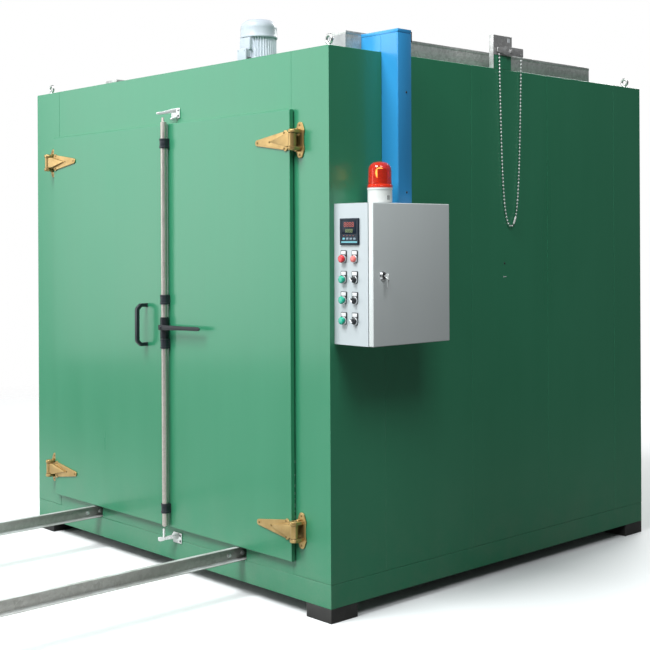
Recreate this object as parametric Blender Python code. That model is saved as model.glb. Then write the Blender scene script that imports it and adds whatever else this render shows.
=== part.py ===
# Walk-in drying oven: an insulated steel housing on four feet, with a pair of
# doors, a lock rod, trolley rails, a control box and the plant on its roof.
#
# Metres, +Z up. The oven frame has X = 0 on the centreline, Y = 0 on the front
# face with +Y towards the back, and Z = 0 on the floor. The empty "oven" carries
# that frame, placed so that the whole part stands centred on the world origin.

import math

import bmesh
import bpy
from mathutils import Matrix, Vector

# Clearances
seat = 0.0003            # gap left between pieces that touch
run = 0.006              # gap beside a piece that swings past another
bore_gap = 0.0005        # play of a pin or rod in its bore

# Housing
body_width = 2.08
body_depth = 2.02
body_height = 2.05       # green housing, from its underside to the roof
wall = 0.100             # insulated panel
foot_height = 0.052
foot_side = 0.135
base_height = 0.088
base_bar = 0.100
post_width = 0.205       # front return of a corner panel
corner_reach = 0.285     # side return of a corner panel
panel_pitch = 0.505      # wall panel module
seam_width = 0.004
seam_depth = 0.002

# Doors
door_inset = 0.190       # from the housing's side to the leaf's edge
door_drop = 0.219        # from the roof down to the leaf's top edge
door_lift = 0.0535       # from the base frame up to the leaf's bottom edge
door_proud = 0.023
door_lap = 0.015         # leaf over the frame
door_split = 0.008       # slot between the leaves
door_meeting = 0.027     # from the housing's middle to the slot's middle
door_edge_step = 0.012   # plug set back from the meeting edge
seal_gap = 0.004
plug_depth = 0.075

# Strap hinges
hinge_drop = 0.337       # upper pair, below the roof
hinge_lift = 0.174       # lower pair, above the base frame
pin_offset = 0.030       # pin outside the leaf's edge
pin_standoff = 0.036     # pin in front of the housing
pin_radius = 0.006
knuckle_radius = 0.0145
knuckle_height = 0.049
ear_height = 0.014
ear_radius = 0.0175
strap_length = 0.226
strap_width = 0.079
strap_sheet = 0.005
rib_length = 0.122
rib_height = 0.010
bracket_width = 0.050
bracket_height = 0.135
bracket_sheet = 0.005
bracket_shift = 0.006    # bracket's middle outside the pin

# Lock rod
rod_offset = 0.070       # from the centreline
rod_standoff = 0.0185    # axis in front of the leaf
rod_radius = 0.0125
rod_top_reach = 0.006    # above the leaf's top edge
cam_height = 0.020
cam_foot = 0.006         # lower cam, below the rod
cam_width = 0.0135
cam_sheet = 0.006
guide_lug = 0.040        # from the rod's axis to the screwed edge
guide_height = 0.040
guide_sheet = 0.004
guide_wall = 0.0045
guide_end = 0.083        # outer guides, from the leaf's top edge
guide_foot = 0.081       # from the leaf's bottom edge
hub_middle = 0.835       # from the leaf's bottom edge
hub_height = 0.090
hub_wall = 0.0045
hub_gap_above = 0.0535   # hub's ends to the guides beside it
hub_gap_below = 0.0015
lever_length = 0.270
lever_root = 0.022       # height at the hub
lever_tip = 0.016
lever_rise = 0.0065      # tip's middle above the root's
lever_sheet = 0.008
keeper_width = 0.060
keeper_height = 0.043
keeper_sheet = 0.004
keeper_drop = 0.155      # keeper's top edge below the roof
keeper_foot = 0.0115     # lower keeper's bottom edge below the base frame's top
horn_reach = 0.070
horn_width = 0.011
horn_root = 0.018        # long horn's height at the plate
horn_tip = 0.010
short_reach = 0.030
short_height = 0.010
lug_sheet = 0.006

# Pull handle
handle_offset = 0.085    # from the centreline
handle_middle = 0.841    # from the leaf's bottom edge
handle_length = 0.182
handle_bar = 0.015
handle_standoff = 0.049  # bar's middle in front of the leaf
handle_corner = 0.016    # cut across the bar's outer corners

# Rails
rail_gauge = 1.033       # web to web
rail_shift = -0.004      # middle of the pair, off the centreline
rail_height = 0.050
rail_width = 0.037
rail_lip = 0.022         # upper flange
rail_sheet = 0.003
rail_reach = 1.500       # outside rails, from the front face
pocket_depth = 0.060
pocket_side = 0.008

# Control box
box_set_back = 0.023
box_length = 0.404
box_depth = 0.200
box_height = 0.510
box_top_drop = 0.577     # below the roof
box_sheet = 0.002
box_door_depth = 0.022
column_first = 0.052
column_pitch = 0.057
row_first = 0.200        # from the box's top
row_pitch = 0.0742
row_count = 4
holder_width = 0.030
holder_height = 0.046
holder_sheet = 0.003
ring_radius = 0.0142
ring_bore = 0.0120
ring_height = 0.009
button_travel = 0.004
button_proud = 0.008
knob_proud = 0.004
knob_grip = 0.012
controller_side = 0.096
controller_depth = 0.012
controller_rim = 0.007
controller_recess = 0.002
controller_in = 0.036    # from the oven's side
controller_drop = 0.054  # from the box's top
lock_in = 0.048          # from the box door's front edge
lock_drop = 0.260        # from the box's top
lock_radius = 0.011
lock_proud = 0.007
key_reach = 0.024
key_height = 0.026
key_sheet = 0.0025

# Beacon on the control box
beacon_back = 0.137      # from the box's front
beacon_radius = 0.046
beacon_base = 0.058
dome_height = 0.094

# Cable duct and roof trunking
duct_back = 0.271
duct_width = 0.072
duct_depth = 0.088
trunk_in = 0.108
trunk_width = 0.097
trunk_height = 0.087
trunk_front = 0.190
left_trunk_front = 0.320
trunk_back = 1.767

# Damper gear on the roof's right edge
damper_back = 0.935
damper_width = 0.122
damper_height = 0.140
damper_sheet = 0.003
damper_lip = 0.023
pivot_back = 1.036
pivot_up = 0.078
damper_arm = 0.072       # pivot to a chain hole
arm_overhang = 0.013
arm_height = 0.036
arm_sheet = 0.004
arm_standoff = 0.006
chain_radius = 0.004
chain_drop = 0.733

# Fan motor
motor_back = 0.538
motor_radius = 0.083
motor_core = 0.070
motor_fins = 32
motor_flange = 0.105
flange_sheet = 0.014
motor_body = 0.215       # roof to the cowl's rim
cowl_height = 0.074
terminal_width = 0.095
terminal_reach = 0.058
terminal_height = 0.056
terminal_up = 0.126

# Lifting eyes
eye_radius = 0.021
eye_wire = 0.006
eye_in = 0.050

half = body_width / 2
base_top = foot_height + base_height
roof_top = foot_height + body_height
rail_top = base_top + seat + rail_height
door_top = roof_top - door_drop
door_bottom = base_top + door_lift
leaf_edge = half - door_inset
opening_edge = half - post_width
opening_top = door_top - door_lap
pin_x = leaf_edge + pin_offset
leaf_face = -door_proud
rod_y = leaf_face - rod_standoff
box_top = roof_top - box_top_drop
box_bottom = box_top - box_height
box_back = box_set_back + box_length
box_split_x = half + box_depth - box_door_depth
trunk_top = roof_top + trunk_height


def clear_scene():
    for item in list(bpy.data.objects):
        bpy.data.objects.remove(item, do_unlink=True)


def finish(name, colour, roughness, metallic=0.0):
    material = bpy.data.materials.new(name)
    material.use_nodes = True
    shader = material.node_tree.nodes["Principled BSDF"]
    shader.inputs["Base Color"].default_value = (*colour, 1.0)
    shader.inputs["Roughness"].default_value = roughness
    shader.inputs["Metallic"].default_value = metallic
    material.diffuse_color = (*colour, 1.0)
    return material


def make_finishes():
    return {
        "green": finish("green_paint", (0.035, 0.27, 0.13), 0.38),
        "black": finish("black_paint", (0.012, 0.014, 0.016), 0.45),
        "gold": finish("gold_plate", (0.72, 0.48, 0.16), 0.32, 0.9),
        "zinc": finish("galvanised", (0.62, 0.64, 0.66), 0.38, 0.9),
        "grey": finish("grey_paint", (0.62, 0.66, 0.65), 0.4),
        "blue": finish("blue_paint", (0.03, 0.23, 0.55), 0.35),
        "motor": finish("motor_paint", (0.42, 0.43, 0.43), 0.45, 0.3),
        "white": finish("white_plastic", (0.8, 0.8, 0.78), 0.4),
        "red": finish("red_lens", (0.7, 0.02, 0.02), 0.15),
        "green_button": finish("green_button", (0.0, 0.42, 0.26), 0.3),
    }


def empty(name, parent, place):
    """An empty at a point of the oven frame."""
    item = bpy.data.objects.new(name, None)
    bpy.context.collection.objects.link(item)
    item["place"] = place
    item.parent = parent
    home = Vector(parent["place"]) if parent else Vector((0, 0, 0))
    item.location = Vector(place) - home
    return item


def solid(name, mesh, material, parent, origin=None, smooth=False):
    """A finished object from a bmesh drawn in the oven frame."""
    origin = Vector(origin if origin is not None else parent["place"])
    bmesh.ops.remove_doubles(mesh, verts=mesh.verts, dist=1e-6)
    bmesh.ops.recalc_face_normals(mesh, faces=mesh.faces)
    bmesh.ops.translate(mesh, verts=mesh.verts, vec=-origin)
    data = bpy.data.meshes.new(name)
    mesh.to_mesh(data)
    mesh.free()
    if smooth:
        data.shade_smooth()
        data.set_sharp_from_angle(angle=math.radians(35))
    item = bpy.data.objects.new(name, data)
    data.materials.append(material)
    bpy.context.collection.objects.link(item)
    item.parent = parent
    item.location = origin - Vector(parent["place"])
    return item


def boolean(target, tool, operation):
    tool.hide_render = True
    tool.display_type = "WIRE"
    step = target.modifiers.new(tool.name, "BOOLEAN")
    step.operation = operation
    step.solver = "EXACT"
    step.object = tool


def block(low, high, mesh=None):
    """A box between two corners."""
    mesh = mesh or bmesh.new()
    middle = [(a + b) / 2 for a, b in zip(low, high)]
    size = [b - a for a, b in zip(low, high)]
    matrix = Matrix.Translation(middle) @ Matrix.Diagonal((*size, 1.0))
    bmesh.ops.create_cube(mesh, size=1.0, matrix=matrix)
    return mesh


def push(mesh, faces, way):
    """Extrude faces along a vector and keep the ones they start from."""
    pushed = bmesh.ops.extrude_face_region(mesh, geom=faces, use_keep_orig=True)
    verts = [part for part in pushed["geom"] if isinstance(part, bmesh.types.BMVert)]
    bmesh.ops.translate(mesh, verts=verts, vec=way)


def prism(outline, axis, start, end):
    """A flat outline pushed along an axis.

    The outline's points are (y, z), (x, z) or (x, y), for the axes X, Y and Z.
    """
    mesh = bmesh.new()
    spread = {
        "X": lambda p: (start, p[0], p[1]),
        "Y": lambda p: (p[0], start, p[1]),
        "Z": lambda p: (p[0], p[1], start),
    }[axis]
    face = mesh.faces.new([mesh.verts.new(spread(point)) for point in outline])
    way = Vector((0, 0, 0))
    way["XYZ".index(axis)] = end - start
    push(mesh, [face], way)
    return mesh


def turned(profile, centre, axis="Z", steps=32):
    """A closed shape spun from a profile of (radius, height) points on its axis."""
    mesh = bmesh.new()
    way = Vector((0, 0, 1)) if axis == "Z" else Vector((0, -1, 0)) if axis == "-Y" else Vector((1, 0, 0))
    side = Vector((1, 0, 0)) if axis != "X" else Vector((0, 1, 0))
    centre = Vector(centre)
    verts = [mesh.verts.new(centre + side * radius + way * height) for radius, height in profile]
    edges = [mesh.edges.new(pair) for pair in zip(verts, verts[1:])]
    bmesh.ops.spin(
        mesh, geom=verts + edges, cent=centre, axis=way,
        angle=math.tau, steps=steps, use_merge=True,
    )
    bmesh.ops.remove_doubles(mesh, verts=mesh.verts, dist=1e-6)
    return mesh


def disc(radius, low, high, centre, axis="Z", steps=32):
    return turned([(0, low), (radius, low), (radius, high), (0, high)], centre, axis, steps)


def ring(outer, inner, low, high, centre, axis="Z", steps=32):
    profile = [(inner, low), (outer, low), (outer, high), (inner, high), (inner, low)]
    return turned(profile, centre, axis, steps)


def arc(centre, radius, first, last, steps):
    """Points along an arc, its angles in degrees."""
    angles = [math.radians(first + (last - first) * i / steps) for i in range(steps + 1)]
    return [(centre[0] + radius * math.cos(a), centre[1] + radius * math.sin(a)) for a in angles]


def mirrored(mesh, side):
    """The same mesh for the left side, where side is -1."""
    if side < 0:
        bmesh.ops.scale(mesh, vec=(-1, 1, 1), verts=mesh.verts)
    return mesh


def fused(name, first, others, material, parent, origin=None, smooth=False):
    """One body from meshes that run into each other."""
    item = solid(name, first, material, parent, origin, smooth)
    for count, mesh in enumerate(others):
        tool = solid(f"{name}_part_{count}", mesh, material, parent, origin, smooth)
        boolean(item, tool, "UNION")
    return item


def seam_notches(start, end, face, inward):
    """Points of an outline's side that runs from start to end past panel seams."""
    points = []
    step = 1 if end > start else -1
    count = int((abs(end - start) - seam_width) // panel_pitch)
    for number in range(1, count + 1):
        middle = start + step * number * panel_pitch
        points += [
            (middle - step * seam_width / 2, face),
            (middle, face + inward * seam_depth),
            (middle + step * seam_width / 2, face),
        ]
    return points


def inset(mesh, faces, thickness):
    """Narrow faces evenly; the ring of new faces stays round them."""
    mesh.normal_update()
    bmesh.ops.inset_region(
        mesh, faces=faces, thickness=thickness, use_boundary=True, use_even_offset=True,
    )


def hollow(mesh, way, sheet, depth):
    """Sink the box's face that looks along way, leaving a rim of the sheet's width."""
    bmesh.ops.recalc_face_normals(mesh, faces=mesh.faces)
    way = Vector(way)
    front = [face for face in mesh.faces if face.normal.dot(way) > 0.9]
    inset(mesh, front, sheet)
    push(mesh, front, -way * depth)
    bmesh.ops.delete(mesh, geom=front, context="FACES_ONLY")


def make_base(oven, paint):
    frame = bmesh.new()
    low = foot_height + seat
    corners = [(-half, 0), (half, 0), (half, body_depth), (-half, body_depth)]
    face = frame.faces.new([frame.verts.new((x, y, low)) for x, y in corners])
    inset(frame, [face], base_bar)
    bmesh.ops.delete(frame, geom=[face], context="FACES_ONLY")
    push(frame, frame.faces[:], (0, 0, base_top - low))
    solid("base_frame", frame, paint["green"], oven)

    for row, y in (("front", 0), ("back", body_depth - foot_side)):
        for side, x in (("left", -half), ("right", half - foot_side)):
            foot = block((x, y, 0), (x + foot_side, y + foot_side, foot_height))
            solid(f"foot_{row}_{side}", foot, paint["black"], oven)


def rail_outline(web_x, low):
    """A channel on its side, its web at web_x and its flanges towards +X."""
    far = web_x + rail_width
    lip = web_x + rail_lip
    inner = web_x + rail_sheet
    high = low + rail_height
    return [
        (web_x, low), (far, low), (far, low + rail_sheet), (inner, low + rail_sheet),
        (inner, high - rail_sheet), (lip, high - rail_sheet), (lip, high), (web_x, high),
    ]


def rail_webs():
    return (
        ("left", rail_shift - rail_gauge / 2),
        ("right", rail_shift + rail_gauge / 2 - rail_sheet),
    )


def make_floor(oven, paint):
    """The floor slab with the inner rails welded on it, as one section."""
    edge = half - base_bar - seat
    low = foot_height + seat
    outline = [(-edge, low), (edge, low), (edge, base_top)]
    for _, web_x in reversed(rail_webs()):
        outline += rail_outline(web_x, base_top)[1:]
        outline.append((web_x, base_top))
    outline.append((-edge, base_top))
    floor = prism(outline, "Y", base_bar + seat, body_depth - base_bar - seat)
    solid("floor_panel", floor, paint["zinc"], oven)


def make_walls(oven, paint):
    low = base_top + seat
    for name, side in (("left", -1), ("right", 1)):
        corner = [
            (half, 0), (half, corner_reach), (half - wall, corner_reach),
            (half - wall, wall), (opening_edge, wall), (opening_edge, 0),
        ]
        mesh = mirrored(prism(corner, "Z", low, roof_top), side)
        solid(f"front_{name}_corner", mesh, paint["green"], oven)

        start = corner_reach + seat
        panel = [(half - wall, start), (half, start)]
        panel += [(x, y) for y, x in seam_notches(start, body_depth, half, -1)]
        panel += [(half, body_depth), (half - wall, body_depth)]
        mesh = mirrored(prism(panel, "Z", low, roof_top), side)
        solid(f"{name}_wall", mesh, paint["green"], oven)

    edge = half - wall - seat
    back = [(-edge, body_depth - wall), (edge, body_depth - wall), (edge, body_depth)]
    back += seam_notches(edge, -edge, body_depth, -1)
    back.append((-edge, body_depth))
    solid("back_wall", prism(back, "Z", low, roof_top), paint["green"], oven)

    roof_low = roof_top - wall
    roof = block((-edge, wall + seat, roof_low), (edge, body_depth - wall - seat, roof_top))
    solid("roof_panel", roof, paint["green"], oven)


def make_front_frame(oven, paint):
    edge = opening_edge - seat
    header = block((-edge, 0, opening_top), (edge, wall, roof_top))
    solid("front_header", header, paint["green"], oven)

    outline = [(edge, wall), (-edge, wall), (-edge, 0)]
    for _, web_x in rail_webs():
        near = web_x - pocket_side
        far = web_x + rail_width + pocket_side
        outline += [(near, 0), (near, pocket_depth), (far, pocket_depth), (far, 0)]
    outline.append((edge, 0))
    sill = prism(outline, "Z", base_top + seat, rail_top)
    solid("front_sill", sill, paint["green"], oven)

    for name, web_x in rail_webs():
        rail = prism(rail_outline(web_x, base_top + seat), "Y", -rail_reach, pocket_depth - seat)
        solid(f"outer_rail_{name}", rail, paint["zinc"], oven)


def strap_outline():
    """Strap seen from the front: pin at (0, 0), tip towards -X."""
    tip = 0.009
    wide = strap_width / 2
    root = pin_offset + 0.004
    shoulder = root + 0.020
    end = strap_length - tip
    upper = [(-root, wide - 0.008), (-shoulder, wide)]
    lower = [(-shoulder, -wide), (-root, -wide + 0.008)]
    return upper + arc((-end, 0), tip, 100, 260, 8) + lower


def make_strap(name, side, height, paint, hinge):
    """A door strap: tapered plate, wedge rib and bored knuckle."""
    plate_back = leaf_face - seat
    plate_front = plate_back - strap_sheet
    place = [(pin_x + x, height + z) for x, z in strap_outline()]
    plate = prism(place, "Y", plate_back, plate_front)
    rib_half = knuckle_height / 2
    rib = [
        (pin_x - rib_length, height), (pin_x - pin_offset, height - rib_half),
        (pin_x, height - rib_half), (pin_x, height + rib_half),
        (pin_x - pin_offset, height + rib_half),
    ]
    rib = prism(rib, "Y", plate_front + 0.001, plate_front - rib_height)
    centre = (pin_x, -pin_standoff, height)
    knuckle = disc(knuckle_radius, -rib_half, rib_half, centre, steps=24)
    bore = disc(pin_radius + bore_gap, -knuckle_height, knuckle_height, centre, steps=16)
    meshes = [mirrored(mesh, side) for mesh in (plate, rib, knuckle, bore)]
    strap = fused(name, meshes[0], meshes[1:3], paint["gold"], hinge)
    cutter = solid(f"{name}_bore", meshes[3], paint["gold"], hinge)
    boolean(strap, cutter, "DIFFERENCE")


def make_bracket(name, side, height, paint, oven):
    """A hinge bracket: plate with pointed ends, two ears and the pin."""
    middle = pin_x + bracket_shift
    wide = bracket_width / 2
    tall = bracket_height / 2
    point = wide * 0.55
    outline = [
        (middle - wide, height - tall + point), (middle - wide * 0.3, height - tall),
        (middle + wide * 0.3, height - tall), (middle + wide, height - tall + point),
        (middle + wide, height + tall - point), (middle + wide * 0.3, height + tall),
        (middle - wide * 0.3, height + tall), (middle - wide, height + tall - point),
    ]
    parts = [prism(outline, "Y", -seat, -seat - bracket_sheet)]
    inner = knuckle_height / 2 + 0.001
    for low in (height + inner, height - inner - ear_height):
        ear = arc((pin_x, -pin_standoff), ear_radius, 180, 360, 12)
        ear += [(pin_x + ear_radius, -seat - 0.002), (pin_x - ear_radius, -seat - 0.002)]
        parts.append(prism(ear, "Z", low, low + ear_height))
    reach = inner + ear_height + 0.002
    parts.append(disc(pin_radius, -reach, reach, (pin_x, -pin_standoff, height), steps=16))
    parts = [mirrored(mesh, side) for mesh in parts]
    fused(name, parts[0], parts[1:], paint["gold"], oven)


def make_leaf(name, side, hinge, paint):
    """A door leaf: face plate over the frame, with the insulated plug behind it."""
    meet = side * door_meeting + door_split / 2
    face = block((meet, leaf_face, door_bottom), (leaf_edge, -seal_gap, door_top))
    plug = block(
        (meet + door_edge_step, -seal_gap - 0.002, rail_top + run),
        (opening_edge - run, plug_depth, opening_top - run),
    )
    fused(name, mirrored(face, side), [mirrored(plug, side)], paint["green"], hinge)


def make_doors(oven, paint):
    heights = (("top", roof_top - hinge_drop), ("bottom", base_top + hinge_lift))
    hinges = {}
    for name, side in (("left", -1), ("right", 1)):
        hinge = empty(f"{name}_door_hinge", oven, (side * pin_x, -pin_standoff, 0))
        make_leaf(f"{name}_door", side, hinge, paint)
        for row, height in heights:
            make_strap(f"{name}_strap_{row}", side, height, paint, hinge)
            make_bracket(f"{name}_bracket_{row}", side, height, paint, oven)
        hinges[name] = hinge
    return hinges


def make_handle(hinge, paint):
    middle = door_bottom + handle_middle
    near = leaf_face - seat
    far = leaf_face - handle_standoff - handle_bar / 2
    low = middle - handle_length / 2
    high = middle + handle_length / 2
    cut = handle_corner
    inner = cut * 0.6
    outline = [
        (near, low), (far + cut, low), (far, low + cut), (far, high - cut), (far + cut, high),
        (near, high), (near, high - handle_bar), (far + handle_bar + inner, high - handle_bar),
        (far + handle_bar, high - handle_bar - inner), (far + handle_bar, low + handle_bar + inner),
        (far + handle_bar + inner, low + handle_bar), (near, low + handle_bar),
    ]
    x = -handle_offset - handle_bar / 2
    solid("pull_handle", prism(outline, "X", x, x + handle_bar), paint["black"], hinge)


def guide_heights():
    hub = door_bottom + hub_middle
    step = (hub_height + guide_height) / 2
    return (
        ("top", door_top - guide_end), ("upper", hub + step + hub_gap_above),
        ("lower", hub - step - hub_gap_below), ("bottom", door_bottom + guide_foot),
    )


def make_guides(hinge, paint):
    """Bearings of the lock rod: a plate screwed on beside a bored block."""
    back = leaf_face - seat
    bore = rod_radius + bore_gap
    block_half = bore + guide_wall
    for name, height in guide_heights():
        low = height - guide_height / 2
        high = height + guide_height / 2
        plate = block(
            (rod_offset - guide_lug, back - guide_sheet, low),
            (rod_offset + block_half, back, high),
        )
        saddle = arc((rod_offset, rod_y), block_half, 180, 360, 14)
        saddle += [(rod_offset + block_half, back - 0.001), (rod_offset - block_half, back - 0.001)]
        guide = fused(f"rod_guide_{name}", plate, [prism(saddle, "Z", low, high)], paint["black"], hinge)
        hole = disc(bore, -guide_height, guide_height, (rod_offset, rod_y, height), steps=28)
        boolean(guide, solid(f"rod_guide_{name}_bore", hole, paint["black"], hinge), "DIFFERENCE")


def make_lock(hinge, paint):
    """The lock rod with a cam on each end, and its lever."""
    pivot = empty("lock_rod_pivot", hinge, (rod_offset, rod_y, 0))
    top = door_top + rod_top_reach
    bottom = rail_top + run + cam_foot
    axis = (rod_offset, rod_y, 0)
    rod = disc(rod_radius, bottom, top, axis, steps=28)
    cam_x = rod_offset - rod_radius + 0.001
    cams = []
    for low, high in ((top - 0.001, top + cam_height), (bottom - cam_foot, bottom + 0.001)):
        cams.append(block(
            (cam_x, rod_y - cam_sheet / 2, low), (cam_x + cam_width, rod_y + cam_sheet / 2, high),
        ))
    fused("lock_rod", rod, cams, paint["zinc"], pivot)

    hub = door_bottom + hub_middle
    sleeve = rod_radius + seat + hub_wall
    collar = ring(sleeve, rod_radius + seat, hub - hub_height / 2, hub + hub_height / 2, axis, steps=28)
    front = rod_y - sleeve - lever_sheet + 0.003
    root_x = rod_offset - sleeve * 0.8
    tip_x = rod_offset + lever_length
    root = hub + lever_root * 0.1
    tip = root + lever_rise
    bar = [
        (root_x, root - lever_root / 2), (tip_x, tip - lever_tip / 2),
        (tip_x, tip + lever_tip / 2), (root_x, root + lever_root / 2),
    ]
    lever = prism(bar, "Y", front + lever_sheet, front)
    fused("lock_lever", collar, [lever], paint["black"], pivot)


def spar(root, tip):
    """A bar that tapers between two upright ends.

    Each end is (x, y, z low, z high), its x the middle of the bar's width.
    """
    mesh = bmesh.new()
    rings = []
    for x, y, low, high in (root, tip):
        near, far = x - horn_width / 2, x + horn_width / 2
        corners = [(near, y, low), (far, y, low), (far, y, high), (near, y, high)]
        rings.append([mesh.verts.new(corner) for corner in corners])
    mesh.faces.new(rings[0])
    mesh.faces.new(rings[1][::-1])
    for number in range(4):
        after = (number + 1) % 4
        mesh.faces.new((rings[0][number], rings[1][number], rings[1][after], rings[0][after]))
    return mesh


def make_keepers(oven, paint):
    """Keepers of the lock rod: a screwed plate with a long and a short horn."""
    back = -seat - keeper_sheet + 0.001
    cam_top = door_top + rod_top_reach + cam_height
    root_x = rod_offset + 0.035
    tip_x = rod_offset - 0.009
    short_root_x = rod_offset + 0.043
    short_tip_x = rod_offset + 0.035

    low = roof_top - keeper_drop - keeper_height
    high = low + keeper_height
    tip = max(high - horn_root * 1.5, cam_top + run)
    upper = [
        spar((root_x, back, high - horn_root, high), (tip_x, -horn_reach, tip, tip + horn_tip)),
        spar((short_root_x, back, low, low + short_height),
             (short_tip_x, -short_reach, low - 0.008, low - 0.008 + short_height)),
    ]

    foot = base_top - keeper_foot
    top = foot + keeper_height
    lug_x = tip_x + (root_x - tip_x) * 0.27
    lug_y = -horn_reach * 0.72
    lower = [
        spar((root_x, back, top - horn_root - 0.006, top - 0.006), (tip_x, -horn_reach, foot + 0.010, foot + 0.028)),
        spar((short_root_x, back, top - short_height, top),
             (short_tip_x, -short_reach, top - short_height + 0.002, top + 0.002)),
        block((lug_x - horn_width / 2, lug_y - lug_sheet / 2, foot + 0.024),
              (lug_x + horn_width / 2, lug_y + lug_sheet / 2, rail_top)),
    ]
    for name, plate_low, parts in (("top", low, upper), ("bottom", foot, lower)):
        x = rod_offset + 0.003
        plate = block(
            (x, -seat - keeper_sheet, plate_low), (x + keeper_width, -seat, plate_low + keeper_height),
        )
        fused(f"keeper_{name}", plate, parts, paint["zinc"], oven)


def operator_places():
    """Centres of the control box's operators: (column, row, x, z)."""
    return [
        (column, row, half + column_first + column * column_pitch, box_top - row_first - row * row_pitch)
        for row in range(row_count) for column in range(2)
    ]


def make_control_box(oven, paint):
    shell = block((half + seat, box_set_back, box_bottom), (box_split_x - seat, box_back, box_top))
    hollow(shell, (1, 0, 0), box_sheet, box_split_x - half - 2 * seat - box_sheet)

    parts = []
    for column, row, x, z in operator_places():
        high = z + holder_height - holder_width / 2
        outline = arc((x, z), holder_width / 2, 180, 360, 12)
        outline += [(x + holder_width / 2, high), (x - holder_width / 2, high)]
        parts.append(prism(outline, "Y", box_set_back + 0.0005, box_set_back - holder_sheet))
        centre = (x, box_set_back - holder_sheet, z)
        if (column, row) == (1, 0):
            parts.append(disc(ring_radius, -0.001, ring_height + button_proud / 2, centre, "-Y", 20))
        else:
            parts.append(ring(ring_radius, ring_bore, -0.001, ring_height, centre, "-Y", 20))
    fused("control_box", shell, parts, paint["grey"], oven)

    x = half + controller_in
    z = box_top - controller_drop
    face_y = box_set_back - seat - controller_depth
    case = block((x, face_y, z - controller_side), (x + controller_side, box_set_back - seat, z))
    hollow(case, (0, -1, 0), controller_rim, controller_recess)
    solid("temperature_controller", case, paint["black"], oven)


def make_box_door(oven, paint):
    hinge = empty("box_door_hinge", oven, (box_split_x, box_back, box_bottom))
    door = block((box_split_x, box_set_back, box_bottom), (half + box_depth, box_back, box_top))
    hollow(door, (-1, 0, 0), box_sheet, box_door_depth - box_sheet)

    face_x = half + box_depth
    y = box_set_back + lock_in
    z = box_top - lock_drop
    barrel = disc(lock_radius, -0.001, lock_proud, (face_x, y, z), "X", 24)
    key = block(
        (face_x + lock_proud - 0.002, y - key_sheet / 2, z - key_height * 0.6),
        (face_x + lock_proud + key_reach, y + key_sheet / 2, z + key_height * 0.4),
    )
    fused("control_box_door", door, [barrel, key], paint["grey"], hinge)


def make_operators(oven, paint):
    stem = ring_bore - bore_gap
    floor_gap = button_travel + 0.001
    for column, row, x, z in operator_places():
        y = box_set_back - holder_sheet
        if column == 0:
            guide = empty(f"push_button_{row + 1}_guide", oven, (x, y, z))
            cap = ring_height + button_proud
            profile = [
                (0, floor_gap), (stem, floor_gap), (stem, cap - 0.002),
                (stem - 0.002, cap), (0, cap),
            ]
            colour = paint["red"] if row == 0 else paint["green_button"]
            solid(f"push_button_{row + 1}", turned(profile, (x, y, z), "-Y", 20), colour, guide)
        elif row > 0:
            pivot = empty(f"selector_{row}_pivot", oven, (x, y, z))
            top = ring_height + knob_proud
            base = disc(stem, 0.001, top, (x, y, z), "-Y", 20)
            grip = block(
                (x - 0.0042, y - top - knob_grip, z - stem * 0.92),
                (x + 0.0042, y - top + 0.001, z + stem * 0.92),
            )
            turn = Matrix.Rotation(math.radians(-45), 3, "Y")
            bmesh.ops.rotate(grip, verts=grip.verts, cent=(x, y, z), matrix=turn)
            fused(f"selector_{row}", base, [grip], paint["black"], pivot)


def make_beacon(oven, paint):
    x = half + box_depth / 2
    y = box_set_back + beacon_back
    low = box_top + seat
    base = [
        (0, 0), (beacon_radius, 0), (beacon_radius, beacon_base - 0.006),
        (beacon_radius - 0.004, beacon_base), (0, beacon_base),
    ]
    solid("beacon_base", turned(base, (x, y, low)), paint["white"], oven, smooth=True)
    flange = beacon_radius + 0.002
    dome = beacon_radius - 0.004
    crown = [(p[0], p[1]) for p in arc((dome - 0.026, dome_height - 0.026), 0.026, 0, 90, 8)]
    profile = [(0, 0), (flange, 0), (flange, 0.010), (dome, 0.012)] + crown + [(0, dome_height)]
    lens = turned(profile, (x, y, low + beacon_base + seat), steps=28)
    solid("beacon_dome", lens, paint["red"], oven, smooth=True)


def make_duct(oven, paint):
    inner = half - trunk_in + seat
    outline = [
        (half + seat, box_top + seat), (half + duct_depth, box_top + seat),
        (half + duct_depth, trunk_top), (inner, trunk_top),
        (inner, roof_top + seat), (half + seat, roof_top + seat),
    ]
    duct = prism(outline, "Y", duct_back, duct_back + duct_width)
    solid("cable_duct", duct, paint["blue"], oven)

    for name, side, front in (("right", 1, trunk_front), ("left", -1, left_trunk_front)):
        mesh = block(
            (half - trunk_in - trunk_width, front, roof_top + seat),
            (half - trunk_in, trunk_back, trunk_top),
        )
        solid(f"{name}_trunking", mirrored(mesh, side), paint["zinc"], oven)


def chain_points(y_left, y_right, top, bottom, x, steps=40):
    """A hanging loop: a catenary with its lowest point midway between its ends."""
    span = (y_right - y_left) / 2
    drop = top - bottom
    low, high = 1e-4, 1.0
    for _ in range(80):
        scale = (low + high) / 2
        if scale * (math.cosh(min(span / scale, 600)) - 1) > drop:
            low = scale
        else:
            high = scale
    points = []
    limit = math.sinh(span / high)
    for number in range(steps + 1):
        run_along = limit * (2 * number / steps - 1)
        offset = high * math.asinh(run_along)
        rise = high * (math.cosh(offset / high) - 1)
        points.append((x, (y_left + y_right) / 2 + offset, bottom + rise))
    return points


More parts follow.
